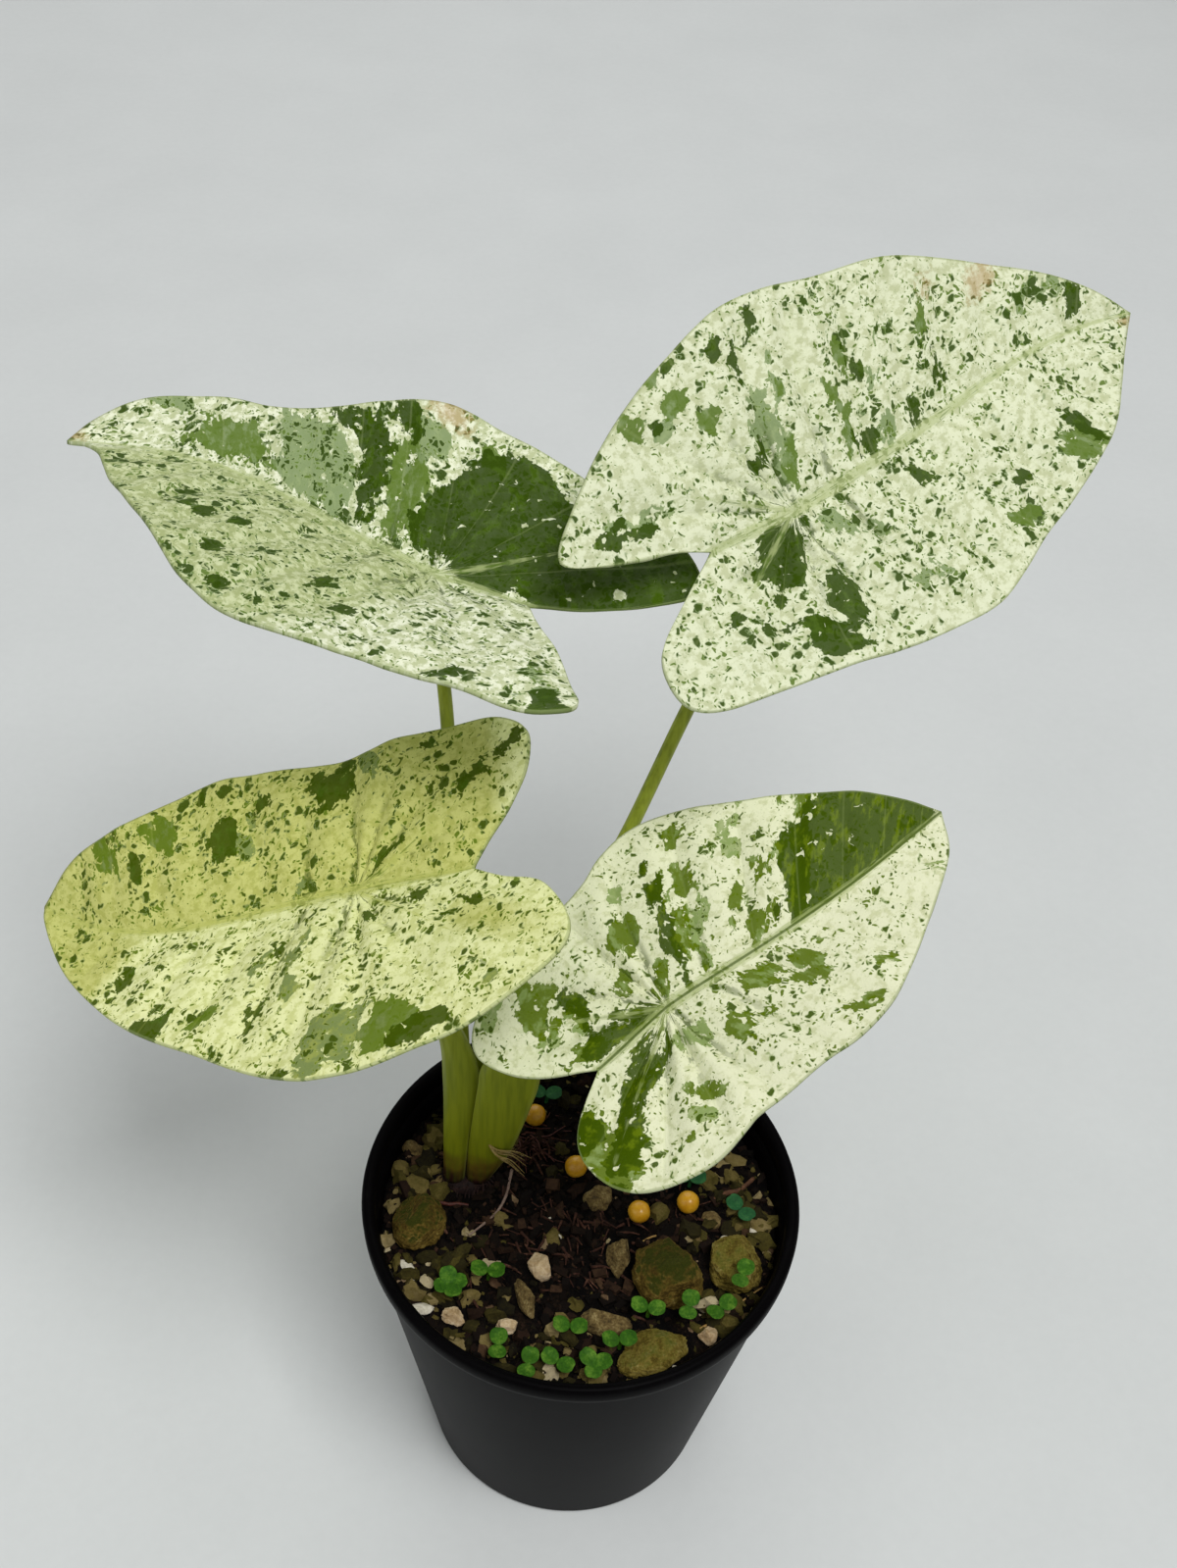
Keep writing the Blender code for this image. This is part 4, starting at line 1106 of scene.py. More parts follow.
@dataclass
class Blade:
    """A heart-shaped blade, rolled from one grid that runs along its margin and out from its joint."""

    node: str
    leaf: LeafShape
    columns: int = 320
    rings: int = 72
    thickness: float = 0.75
    rib_thickness: float = 1.5
    rib_height: float = 0.25
    rib_half: float = 0.9
    rib_spread: float = 1.1
    rib_fade: float = 0.7
    groove: float = 0.75
    groove_half: float = 0.6
    swells: tuple[tuple[float, float, float], ...] = ((0.9, 0.075, 0.0), (0.16, 0.2, 5.0))
    ripple: float = 0.7
    wave: float = 0.5
    waves: int = 9

    def relief(self, x: float, v: float, edge: float, turn: float, ring: float) -> float:
        """How far the surface stands out at a point.

        Args:
            x: Millimetres from the joint towards the tip.
            v: Millimetres from the midrib.
            edge: Millimetres from the margin.
            turn: The place along the margin, 0 to 1.
            ring: The place from the joint to the margin, 0 to 1.

        Returns:
            The height in millimetres.
        """
        place = self.leaf.vein_place(x, v)
        out = abs(v)
        index = place.index() + 0.22 * noise.noise(Vector((place.across * 0.12, v * 0.04, 7.0)))
        pitch = VEIN_STEP if place.across else max(0.5, place.along * (math.pi / 2) / BACK_VEINS)
        off = abs(index - round(index)) * pitch
        height = -math.cos(math.tau * index) * smooth(1.0, 9.0, out) * smooth(0.0, 7.0, edge)
        groove = math.exp(-((off / self.groove_half) ** 2)) * smooth(0.5, 3.0, out) * smooth(0.5, 5.0, edge)
        height = (height - self.groove * groove) * self.leaf.quilting
        rib = math.exp(-((v / self.rib_half) ** 2)) * smooth(0.0, 12.0, edge) * smooth(0.0, 6.0, abs(x))
        height += self.rib_height * rib
        for size, scale, layer in self.swells:
            height += size * noise.noise(Vector((x, v, layer)) * scale) * smooth(0.0, 3.0, out)
        ripple = noise.noise(Vector((math.cos(math.tau * turn), math.sin(math.tau * turn), 0)) * 3.5)
        return height + self.ripple * ripple * ring ** 6

    def build(self) -> None:
        """Builds the blade, with its upper face modelled and its thickness from a modifier."""
        leaf = self.leaf
        half = self.columns // 2
        left = evenly(curve_through(leaf.left, 12), half)
        right = evenly(curve_through(leaf.right, 12), half)
        margin = left + right[-2::-1]
        blots = {tone: [(leaf.vein_place(x, v), v, long, wide) for x, v, long, wide in blotches]
                 for tone, blotches in leaf.blotches.items()}
        finder = KDTree(len(margin))
        for i, point in enumerate(margin):
            finder.insert((point.x, point.y, 0), i)
        finder.balance()
        bm = bmesh.new()
        bmesh.ops.create_grid(bm, x_segments=self.columns, y_segments=self.rings, size=0.5)
        vectors = {key: bm.verts.layers.float_vector.new(key)
                   for key in ("flat", "vein", "ribs", "blots", "tints")}
        edge_layer = bm.verts.layers.float.new("edge")
        groups = bm.verts.layers.deform.verify()
        frame = leaf.frame()
        for vertex in bm.verts:
            column = round((vertex.co.x + 0.5) * self.columns)
            ring = vertex.co.y + 0.5
            turn = column / self.columns
            x, v = margin[column].x * ring, margin[column].y * ring
            edge = finder.find((x, v, 0))[2]
            self.paint(vertex, vectors, blots, x, v)
            vertex[edge_layer] = edge
            vertex[groups][0] = math.exp(-((v / self.rib_spread) ** 2)) * (1 - ring) ** self.rib_fade
            spot = leaf.laid(x, v, self.relief(x, v, edge, turn, ring))
            spot.z += self.wave * math.sin(math.tau * self.waves * turn) * ring ** 5
            vertex.co = frame @ spot
        bmesh.ops.remove_doubles(bm, verts=bm.verts, dist=0.004)
        bm.normal_update()
        up = frame.to_3x3() @ Vector((0, 0, 1))
        total = sum((face.normal * face.calc_area() for face in bm.faces), Vector())
        piece = finished(bm, f"{self.node}_leaf", [leaf.face, LEAF_BACK], leaf.slot, (self.node,),
                         flip=total.dot(up) < 0)
        piece.vertex_groups.new(name="rib")
        shell = piece.modifiers.new("Thickness", "SOLIDIFY")
        shell.thickness = self.rib_thickness * MM
        shell.offset = -1
        shell.vertex_group = "rib"
        shell.thickness_vertex_group = self.thickness / self.rib_thickness
        shell.material_offset = 1

    def paint(self, vertex: BMVert, layers: dict[str, Any], blots: dict[Tone, list], x: float,
              v: float) -> None:
        """Writes the coordinates and blotch depths that the leaf's finish reads.

        Args:
            vertex: The vertex to write on.
            layers: Its vector layers by name.
            blots: The leaf's blotches by tone, each with its middle's place.
            x: Millimetres from the joint towards the tip.
            v: Millimetres from the midrib.
        """
        place = self.leaf.vein_place(x, v)
        side = 0.0 if abs(v) < 1e-6 else math.copysign(1.0, v)
        vertex[layers["flat"]] = (x, v, 0.0)
        vertex[layers["vein"]] = (
            place.across - place.angle * FAN_REACH, place.along * GRAIN_STRETCH, side * HALVES_APART)
        reach = self.leaf.left[0][0]
        rib = abs(v) - RIB_TIP - RIB_MORE * max(0.0, 1 - max(x, -BACK_TAPER * x) / reach)
        if place.angle > LOBE_FROM:
            lobe_rib = LOBE_RIB_MORE * max(0.0, 1 - place.along / LOBE_RIB_REACH) + LOBE_RIB_TIP
            rib = min(rib, abs(place.angle - LOBE_RIB) * place.along - lobe_rib)
        vertex[layers["ribs"]] = (rib, x if place.across else place.along, place.index())
        depths = {tone: -DEEPEST for tone in Tone}
        for tone, spots in blots.items():
            for middle, from_rib, long, wide in spots:
                if from_rib * v >= 0:
                    depths[tone] = max(depths[tone], place.depth_in(middle, long, wide))
        greens = depths[Tone.DARK], depths[Tone.MIDDLE], depths[Tone.GREY]
        vertex[layers["blots"]] = greens
        vertex[layers["tints"]] = (
            depths[Tone.SCORCHED], depths[Tone.WARM], max(greens) - depths[Tone.CLEAR] - DEEPEST)


# Each stalk's stations from the corm up: a point of its middle line, and its half widths across and deep
STALKS: dict[str, list[tuple[tuple[float, float, float], float, float]]] = {
    "back_left": [((-26.9, 10.6, 73.8), 2.1, 2.1), ((-25.9, 11.1, 88), 2, 1.6),
                  ((-26.3, 12.6, 104), 2.2, 1.7), ((-27.2, 18, 124), 1.7, 1.6),
                  ((-28.7, 25, 150), 1.4, 1.4), ((-30.4, 33.5, 177), 1.3, 1.3)],
    "back_right": [((-22.3, 10.6, 73.8), 2.1, 2.1), ((-20.4, 10.4, 88), 2.7, 1.7),
                   ((-20.2, 10.8, 103), 4.4, 1.6), ((-16.4, 13.4, 112), 3.6, 1.6),
                   ((-9.2, 19.5, 123), 1.8, 1.6), ((-2.6, 26, 139), 1.5, 1.5),
                   ((4.4, 32, 154.6), 1.4, 1.4), ((13.1, 40, 178), 1.35, 1.35),
                   ((21.6, 45.3, 201), 1.3, 1.3)],
    "front_left": [((-26.8, 6.2, 73.8), 2.3, 1.8), ((-26.3, 7, 88), 2.8, 1.5),
                   ((-25.4, 7.8, 104), 3.8, 1.5), ((-27.4, 8.2, 118), 2.7, 1.5),
                   ((-32.5, 7.4, 133), 1.5, 1.4), ((-38, 6.2, 148), 1.35, 1.3)],
    "front_right": [((-21.9, 6.3, 73.8), 2.5, 1.8), ((-19.2, 6, 86), 4.6, 1.6),
                    ((-16.2, 5.4, 105), 5.9, 1.5), ((-15.2, 5, 112.5), 6.0, 1.5), ((-12, 4.2, 120), 4.8, 1.6),
                    ((-2.6, 0.9, 128.5), 1.9, 1.4), ((5.5, -3, 140), 1.35, 1.3)],
}


@dataclass
class Stalk:
    """A leaf stalk: a flattened, furrowed sheath on the corm that narrows to a round stem under its blade."""

    node: str
    leaf: LeafShape
    stations: list[tuple[tuple[float, float, float], float, float]]
    steps: int = 14
    sides: int = 54
    top_r: float = 1.25
    sunk: float = 0.9
    clearance: float = 0.12
    ridges: float = 0.05

    def build(self) -> None:
        """Builds the stalk from a little way inside the corm up to the underside of its blade."""
        place = self.leaf.frame()
        tilt = math.radians(self.leaf.fold[1] - self.leaf.fold[0]) / 2
        out_of_blade = (place.to_3x3() @ Vector((0, math.sin(tilt), math.cos(tilt)))).normalized()
        top = place.translation - out_of_blade * (Blade.rib_thickness + self.clearance)
        path = curve_through([s[0] for s in self.stations] + [top], self.steps)
        widths = curve_through([s[1:] for s in self.stations] + [(self.top_r, self.top_r)], self.steps)
        sizes = [tuple(width) for width in widths]
        path.insert(0, path[0] - Vector((0, 0, self.sunk)))
        sizes.insert(0, (sizes[0][0] * 0.9, sizes[0][1] * 0.9))
        bm = bmesh.new()
        add_tube(bm, path, sizes, self.sides, ridges=self.ridges)
        finished(bm, f"{self.node}_stem", [STALK_SKIN], "leaf_stalk", (self.node,))


# Pot

@dataclass
class NurseryPot:
    """A thin round nursery pot with a turned lip and drain holes through its floor."""

    rim_r: float = 45.0
    height: float = 80.0
    base_r: float = 31.0
    floor: float = 1.6
    wall: float = 1.5
    lip_h: float = 4.6
    lip_out: float = 1.5
    steps: int = 160
    holes: int = 8
    hole_r: float = 2.6
    hole_ring: float = 21.0
    step: float = 1.5
    sharp: float = math.radians(50)

    def inner_r(self, z: float) -> float:
        """Radius of the inner wall.

        Args:
            z: The height to measure it at.

        Returns:
            The radius in millimetres.
        """
        low, high = self.floor, self.height - self.lip_h - self.step
        low_r = self.base_r - self.wall - 0.3
        high_r = self.rim_r - self.lip_out - self.wall - 0.2
        return low_r + (high_r - low_r) * (z - low) / (high - low)

    def profile(self) -> list[tuple[float, float]]:
        """Draws the wall's section, up the inside and down the outside.

        Returns:
            Its (radius, height) points.
        """
        rim, top, floor, base = self.rim_r, self.height, self.floor, self.base_r
        lip = top - self.lip_h
        step = lip - self.step
        inner = self.inner_r(step)
        outer = rim - self.lip_out
        return [
            (0.0, floor), (self.inner_r(floor) - 0.8, floor), (self.inner_r(floor), floor + 0.7),
            (self.inner_r(40), 40), (inner - 0.1, step - 0.6), (inner, step), (inner + 0.8, step + 0.8),
            (rim - 2.9, top - 1.8), (rim - 2.4, top - 0.7), (rim - 2.0, top - 0.15), (rim - 1.5, top),
            (rim - 0.8, top), (rim - 0.25, top - 0.35), (rim, top - 1.1), (rim - 0.1, lip + 1.5),
            (rim - 0.3, lip + 0.3), (rim - 0.6, lip), (outer, lip - 0.1), (outer - 0.1, lip - 0.7),
            (base + 0.2, 1.2), (base - 0.05, 0.6), (base - 0.4, 0.2), (base - 1.0, 0.0), (0.0, 0.0),
        ]

    def build(self) -> None:
        """Turns the pot and drills its floor."""
        bm = bmesh.new()
        verts = [bm.verts.new((r, 0.0, z)) for r, z in self.profile()]
        edges = [bm.edges.new(pair) for pair in zip(verts, verts[1:])]
        bmesh.ops.spin(bm, geom=verts + edges, cent=(0, 0, 0), axis=(0, 0, 1), angle=math.tau,
                       steps=self.steps, use_merge=True)
        bmesh.ops.remove_doubles(bm, verts=bm.verts, dist=0.0005)
        bmesh.ops.recalc_face_normals(bm, faces=bm.faces)
        drill = bmesh.new()
        for i in range(self.holes):
            turn = math.tau * (i + 0.5) / self.holes
            spot = Vector((self.hole_ring * math.cos(turn), self.hole_ring * math.sin(turn), self.floor / 2))
            bmesh.ops.create_cone(drill, cap_ends=True, segments=40, radius1=self.hole_r, radius2=self.hole_r,
                                  depth=5 * self.floor, matrix=Matrix.Translation(spot))
        cutter = placed("drill", mesh_from(drill, "drill"))
        pot = finished(bm, "nursery_pot", [POT_PLASTIC], "pot_plastic", ("pot",))
        cut = pot.modifiers.new("Drain holes", "BOOLEAN")
        cut.object = cutter
        cut.solver = "EXACT"
        bpy.context.view_layer.update()
        drilled = bpy.data.meshes.new_from_object(pot.evaluated_get(bpy.context.evaluated_depsgraph_get()))
        pot.modifiers.clear()
        pot.data = drilled
        bpy.data.objects.remove(cutter, do_unlink=True)
        pot.data.shade_smooth()
        pot.data.set_sharp_from_angle(angle=self.sharp)


# Stones, beads, seedlings and litter

# Each stone's middle, half sizes, turn in degrees, fineness and finish
STONES: dict[str, tuple] = {
    "stone_mossy_large": ((18.7, -14.1, 73.5), (7.2, 8.2, 6.0), 20, 6, MOSSY_DARK),
    "stone_mossy_left": ((-33.0, -5.3, 72.5), (5.4, 6.6, 4.8), 0, 6, MOSSY_DARK),
    "stone_mossy_right": ((32.2, -10.3, 72.8), (6.0, 6.2, 4.4), 0, 6, MOSSY_OCHRE),
    "stone_mossy_flat": ((16.4, -30.2, 71.0), (8.2, 5.0, 3.2), 28, 6, MOSSY_OCHRE),
    "stone_brown_mid": ((8.6, -9.6, 71.6), (2.8, 4.8, 3.4), 0, 5, BROWN_STONE),
    "stone_brown_front": ((6.6, -24.6, 71.0), (5.4, 3.6, 2.6), -8, 5, BROWN_STONE),
    "stone_chip_long": ((-9.9, -20.6, 71.4), (2.0, 5.2, 2.2), 30, 5, BROWN_STONE),
    "stone_beige": ((-7.5, -13.2, 72.0), (2.7, 3.4, 2.5), 25, 5, PALE_STONE),
    "pebble_cream_right": ((26.8, -26.4, 71.8), (2.3, 2.1, 2.0), 0, 5, PALE_STONE),
    "pebble_cream_left": ((-24.2, -25.8, 71.8), (2.8, 2.1, 1.8), -15, 5, PALE_STONE),
    "pebble_cream_mid": ((-13.4, -27.2, 71.4), (2.8, 1.7, 1.7), 10, 5, PALE_STONE),
}
STONE_SLOTS = {
    MOSSY_DARK: "mossy_stone", MOSSY_OCHRE: "mossy_stone",
    BROWN_STONE: "brown_stone", PALE_STONE: "pale_stone",
}


@dataclass
class Stones:
    """The stones and pebbles that lie on the soil, each a rough lump with finer pits than its solid.

    Its facets lie at the shares of its half size that cut gives, and a small one's at those of small_cut.
    """

    rough: float = 0.10
    pits: float = 0.05
    facets: int = 10
    cut: tuple[float, float] = (0.70, 0.93)
    small_cut: tuple[float, float] = (0.58, 0.85)

    def build(self) -> None:
        """Builds every stone, its facets cut by planes and its face roughened by noise."""
        for seed, (name, (at, half, turn, fineness, finish)) in enumerate(STONES.items()):
            bm = bmesh.new()
            bmesh.ops.create_icosphere(bm, subdivisions=fineness, radius=1.0)
            spin = Matrix.Rotation(math.radians(turn), 3, "Z")
            draw = random.Random(seed + 3)
            planes = []
            for _ in range(self.facets):
                out = Vector(draw.gauss(0, 1) for _ in range(3)).normalized()
                planes.append((out, draw.uniform(*(self.cut if fineness > 5 else self.small_cut))))
            shift = Vector((seed * 3.7, 0, 0))
            for vertex in bm.verts:
                cuts = [far / out.dot(vertex.co) for out, far in planes if out.dot(vertex.co) > far]
                lump = min(cuts, default=1.0) * (1.0 + self.rough * noise.noise(vertex.co * 1.6 + shift))
                pit = noise.fractal(vertex.co * 5.0 + shift, 0.8, 2.1, 4)
                lump += self.pits * (pit - 0.35)
                vertex.co = Vector(at) + spin @ Vector(vertex.co[k] * lump * half[k] for k in range(3))
            finished(bm, f"{name}_rock", [finish], STONE_SLOTS[finish], (name,))


@dataclass
class FeedBeads:
    """Round beads of slow feed, slightly dented and with a thin coat."""

    count: int = 4
    dent: float = 0.035

    def build(self) -> None:
        """Builds the beads where their solids lie."""
        for i in range(1, self.count + 1):
            low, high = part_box(f"feed_bead_{i}")
            middle = (low + high) / 2 / MM
            radius = (high.x - low.x) / 2 / MM
            bm = bmesh.new()
            bmesh.ops.create_icosphere(bm, subdivisions=5, radius=radius)
            for vertex in bm.verts:
                vertex.co *= 1.0 - self.dent * (0.5 + noise.noise(vertex.co * 0.5 + Vector((i * 5.1, 0, 0))))
            bmesh.ops.translate(bm, vec=middle, verts=bm.verts)
            finished(bm, f"feed_bead_{i}_coat", [FEED_COAT], "feed_bead", (f"feed_bead_{i}",))


# Each seedling's place, turn in degrees and number of leaves, and those that stand in the plant's shade,
# which get a darker copy of the seed leaf as painted shade
SEEDLINGS = (
    (-25.1, -20.0, 20, 4), (-17.8, -16.6, 0, 2), (-14.6, -32.4, 90, 2), (-8.4, -36.0, 80, 2),
    (-2.6, -35.4, -25, 2), (-0.6, -27.8, 0, 2), (4.6, -35.8, 20, 3), (9.2, -30.6, 10, 2),
    (14.6, -23.6, -5, 2), (22.6, -23.4, 80, 2), (29.4, -21.4, 45, 2), (33.2, -16.2, 70, 2),
    (33.4, 1.8, -45, 2), (22.8, 9.2, 0, 2), (-8.8, 28.4, 0, 2),
)
SHADED_SEEDLINGS = (13, 14, 15)


@dataclass
class Seedlings:
    """Tiny seedlings: a thin stem with two to four round, slightly cupped and notched seed leaves."""

    leaf_r: float = 1.9
    leaf_t: float = 0.45
    stem_r: float = 0.42
    stem_h: float = 3.4
    sunk: float = 0.2
    notch: float = 0.14
    uneven: float = 0.05
    cup: float = 0.25
    crease: float = 0.12
    rises: tuple[float, float] = (math.radians(8), math.radians(15))
    reaches: tuple[float, float] = (-0.15, 0.15)

    def build(self) -> None:
        """Builds the seedlings where their solids stand."""
        for i, (x, y, turn, leaves) in enumerate(SEEDLINGS, 1):
            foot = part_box(f"seedling_{i:02d}")[0].z / MM - self.sunk
            bm = bmesh.new()
            path = curve_through([(0, 0, 0), (0.15, 0.1, 1.6), (0, 0, self.stem_h + 0.1)], 6)
            add_tube(bm, path, [(self.stem_r, self.stem_r)] * len(path), 10)
            for k in range(leaves):
                spread = math.tau * k / leaves + math.radians(turn)
                self.add_leaf(bm, self.leaf_r + self.reaches[k % 2], spread, self.rises[k % 2], i + k * 0.37)
            bmesh.ops.translate(bm, vec=(x, y, foot), verts=bm.verts)
            # The seedlings under the plant take the darker copy, as painted shade.
            finish = SEED_LEAF_PAINTED_SHADE if i in SHADED_SEEDLINGS else SEED_LEAF
            finished(bm, f"seedling_{i:02d}_leaves", [finish], "seedling_green", (f"seedling_{i:02d}",))

    def add_leaf(self, bm: BMesh, reach: float, turn: float, tilt: float, seed: float) -> None:
        """Adds one seed leaf.

        Args:
            bm: The seedling's mesh.
            reach: How far its middle stands from the stem.
            turn: Its direction.
            tilt: How steeply it rises.
            seed: What sets its cupping apart.
        """
        place = (Matrix.Translation((0, 0, self.stem_h)) @ Matrix.Rotation(turn, 4, "Z")
                 @ Matrix.Rotation(-tilt, 4, "Y") @ Matrix.Translation((reach, 0, 0)))
        new = bmesh.ops.create_uvsphere(bm, u_segments=28, v_segments=12, radius=1.0)["verts"]
        for vertex in new:
            angle = math.atan2(vertex.co.y, vertex.co.x)
            flat = math.hypot(vertex.co.x, vertex.co.y)
            notch = 1.0 - self.notch * math.exp(-((angle / 0.35) ** 2))
            uneven = 1 + self.uneven * noise.noise(Vector((math.cos(angle), math.sin(angle), seed)))
            radius = self.leaf_r * notch * uneven
            crease = self.crease * math.exp(-((vertex.co.y / 0.12) ** 2)) * (1 - flat)
            cup = self.cup * flat * flat - crease
            vertex.co = place @ Vector((
                vertex.co.x * radius, vertex.co.y * radius * 0.96, vertex.co.z * self.leaf_t / 2 + cup))


# Lines on the soil: their points from above, how far they lie over it, and the half widths at both ends
DRY_STEMS = (
    (((25.2, -24.7), (28.6, -22.4), (31.8, -19.6), (35.0, -16.8), (37.9, -14.3)), 0.7, 0.3, 0.16),
    (((12.6, -5.8), (15.4, -4.2), (18.6, -3.8)), 0.5, 0.25, 0.15),
)
PALE_ROOTS = (
    (((-14.9, 9.6), (-15.2, 6.4), (-15.6, 3.0), (-17.1, -0.2), (-19.4, -3.8), (-22.6, -7.0)),
     0.75, 0.36, 0.22),
)
THICK_RED_ROOTS = (
    (((-30.0, 0.6), (-27.5, 0.1), (-25.4, 0.4), (-23.0, 0.2)), 0.5, 0.45, 0.3),
)
STRAY_FIBRE = ((-19.6, 4.6, 88.0), (-17.6, 3.6, 86.4), (-14.8, 4.0, 84.6), (-12.0, 4.8, 80.6))

# Bits of grit that are laid one by one: (x, y, half length, half width)
WHITE_BITS = (
    (-4.7, -5.7, 1.1, 1.0), (-5.9, -1.1, 0.8, 0.6), (-33.9, -15.5, 3.0, 1.3), (-30.8, -24.4, 2.8, 1.3),
    (36.6, -0.7, 1.9, 1.5), (31.0, -4.6, 1.8, 1.4), (10.5, -16.5, 0.9, 0.7), (20.4, -33.9, 0.9, 0.8),
)
TAN_BITS = (
    (35.3, -21.4, 1.8, 1.3), (-30.0, 5.1, 2.2, 1.7), (27.8, 1.2, 2.4, 2.0), (24.2, -3.4, 1.9, 1.4),
    (3.5, 4.0, 3.2, 2.8), (-36.1, 13.3, 2.4, 2.0), (-7.5, -30.9, 1.0, 0.8),
)


@dataclass
class Litter:
    """What lies loose on the soil: twig, dry stems, roots, fibres, and the crumbs and chips of the mix.

    A spread is a middle and a deviation, across and along the pot. An area is its limits, across and along.
    """

    soil_top: float = 70.4
    rough: float = 1.0
    top_r: float = 41.2
    mound_h: float = 1.0
    mound_r: float = 14.0
    corm: tuple[float, float] = (-24.6, 8.4)
    corm_r: float = 5.2
    corm_knobs: float = 0.05
    corm_square: int = 5
    grid: int = 210
    lumps: tuple[tuple[float, float], ...] = ((0.55, 0.42), (0.42, 0.95), (0.25, 2.1))
    crumb_lift: float = 0.25
    crumb_cells: float = 0.5
    skirt: float = 1.2
    edge_sink: float = 0.9
    edge_wide: float = 1.6
    above: float = 110.0
    chips: int = 1300
    crumbs: int = 1700
    grit: int = 620
    splinters: float = 0.6
    creepers: int = 16
    arches: int = 26
    slivers: int = 150
    hairs: int = 60
    fibres: int = 46
    frays: int = 70
    strays: int = 9
    twig_ends: tuple[tuple[float, float], ...] = ((27.6, 5.4), (37.0, 11.4))
    creepers_from: tuple[float, float] = (-13.5, 20.0)
    creeper_step: float = 2.2
    arch_area: tuple[tuple[float, float], ...] = ((-14.5, -7.0), (10.0, 17.0))
    sliver_spread: tuple[tuple[float, float], ...] = ((-1.0, 12.0), (-8.0, 9.0))
    sliver_reach: float = 36.0
    fray_spread: tuple[tuple[float, float], ...] = ((-17.6, 1.7), (13.2, 1.1))
    fibre_ring: tuple[float, float] = (5.4, 5.0)
    seed: int = 20
    surface: BVHTree = field(init=False)

    def build(self) -> None:
        """Builds the soil's surface and everything on it."""
        self.build_bed()
        self.build_corm()
        self.scatter_bark()
        self.scatter_grit()
        self.build_strands()
        self.lay_bits("white_grit", WHITE_GRIT, "pale_stone", WHITE_BITS)
        self.lay_bits("tan_grit", BROWN_STONE, "brown_stone", TAN_BITS)

    def bed_height(self, x: float, y: float) -> float:
        """Height of the soil's solid top.

        Args:
            x: Across the pot.
            y: Along the pot.

        Returns:
            The height in millimetres.
        """
        lumps = noise.noise(Vector((x, y, 0)) * 0.16) * self.rough
        lumps += noise.noise(Vector((x, y, 9)) * 0.4) * self.rough * 0.6
        near_plant = math.hypot(x - self.corm[0], y - self.corm[1])
        return self.soil_top + lumps + self.mound_h * math.exp(-((near_plant / self.mound_r) ** 2))

    def crumb_height(self, x: float, y: float) -> float:
        """Height of the crumbly surface that covers the solid soil.

        Args:
            x: Across the pot.
            y: Along the pot.

        Returns:
            The height in millimetres.
        """
        spot = Vector((x, y, 4.0))
        lumps = sum(high * noise.noise(spot * scale) for high, scale in self.lumps)
        cells = noise.voronoi(spot * 0.55)[0][0]
        return self.bed_height(x, y) + self.crumb_lift + lumps + self.crumb_cells * (0.45 - cells)

    def build_bed(self) -> None:
        """Builds the crumbly surface, and keeps a search tree over it, in millimetres."""
        bm = bmesh.new()
        bmesh.ops.create_grid(bm, x_segments=self.grid, y_segments=self.grid, size=self.top_r)
        outside = [v for v in bm.verts if math.hypot(v.co.x, v.co.y) > self.top_r + 0.3]
        bmesh.ops.delete(bm, geom=outside, context="VERTS")
        for vertex in bm.verts:
            x, y = vertex.co.x, vertex.co.y
            reach = math.hypot(x, y)
            if vertex.is_boundary or reach > self.top_r:
                x, y = x * self.top_r / reach, y * self.top_r / reach
            sink = self.edge_sink * smooth(self.top_r - self.edge_wide, self.top_r, math.hypot(x, y))
            vertex.co = Vector((x, y, self.crumb_height(x, y) - sink))
        bmesh.ops.remove_doubles(bm, verts=bm.verts, dist=0.02)
        self.surface = BVHTree.FromBMesh(bm)
        rim = [e for e in bm.edges if e.is_boundary]
        made = bmesh.ops.extrude_edge_only(bm, edges=rim)["geom"]
        skirt = [g for g in made if isinstance(g, BMVert)]
        bmesh.ops.translate(bm, vec=(0, 0, -self.skirt), verts=skirt)
        finished(bm, "soil_crumb_surface", [SOIL_MIX], "soil_mix")

    def build_corm(self) -> None:
        """Builds the corm's knobbly top, which the stalks stand on."""
        low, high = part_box("corm")
        middle = (low + high) / 2 / MM
        half = (high - low) / 2 / MM
        bm = bmesh.new()
        bmesh.ops.create_icosphere(bm, subdivisions=5, radius=1.0)
        for vertex in bm.verts:
            power = self.corm_square
            sides = abs(vertex.co.z), math.hypot(vertex.co.x, vertex.co.y)
            spot = vertex.co / sum(side ** power for side in sides) ** (1 / power)
            knob = 1.0 - self.corm_knobs * (0.5 + noise.fractal(vertex.co * 2.5, 0.8, 2.0, 3))
            vertex.co = middle + Vector(spot[k] * half[k] * knob for k in range(3))
        finished(bm, "corm_top", [CORM_SKIN], "corm_skin", ("corm",))

    def ground(self, x: float, y: float) -> Vector | None:
        """Where the soil's surface lies under a place."""
        return self.surface.ray_cast(Vector((x, y, self.above)), DOWN)[0]

    def taken(self, x: float, y: float, room: float) -> bool:
        """Says whether a chip at this place would lie in a stone, the stalks or the pot's wall.

        Args:
            x: Across the pot.
            y: Along the pot.
            room: The chip's half size.

        Returns:
            True if the place is taken.
        """
        if math.hypot(x, y) > self.top_r - 0.7 * room:
            return True
        if math.hypot(x - self.corm[0], y - self.corm[1]) < self.corm_r + 0.4 * room:
            return True
        for at, half, turn, _, _ in STONES.values():
            spot = Matrix.Rotation(-math.radians(turn), 2) @ Vector((x - at[0], y - at[1]))
            if math.hypot(spot.x / (half[0] + 0.5 * room), spot.y / (half[1] + 0.5 * room)) < 1.0:
                return True
        return False

    def anywhere(self, draw: random.Random) -> tuple[float, float]:
        """Draws a random place within the pot's wall.

        Args:
            draw: Where it comes from.

        Returns:
            The place across and along the pot.
        """
        reach = self.top_r * math.sqrt(draw.random())
        angle = draw.uniform(0, math.tau)
        return reach * math.cos(angle), reach * math.sin(angle)

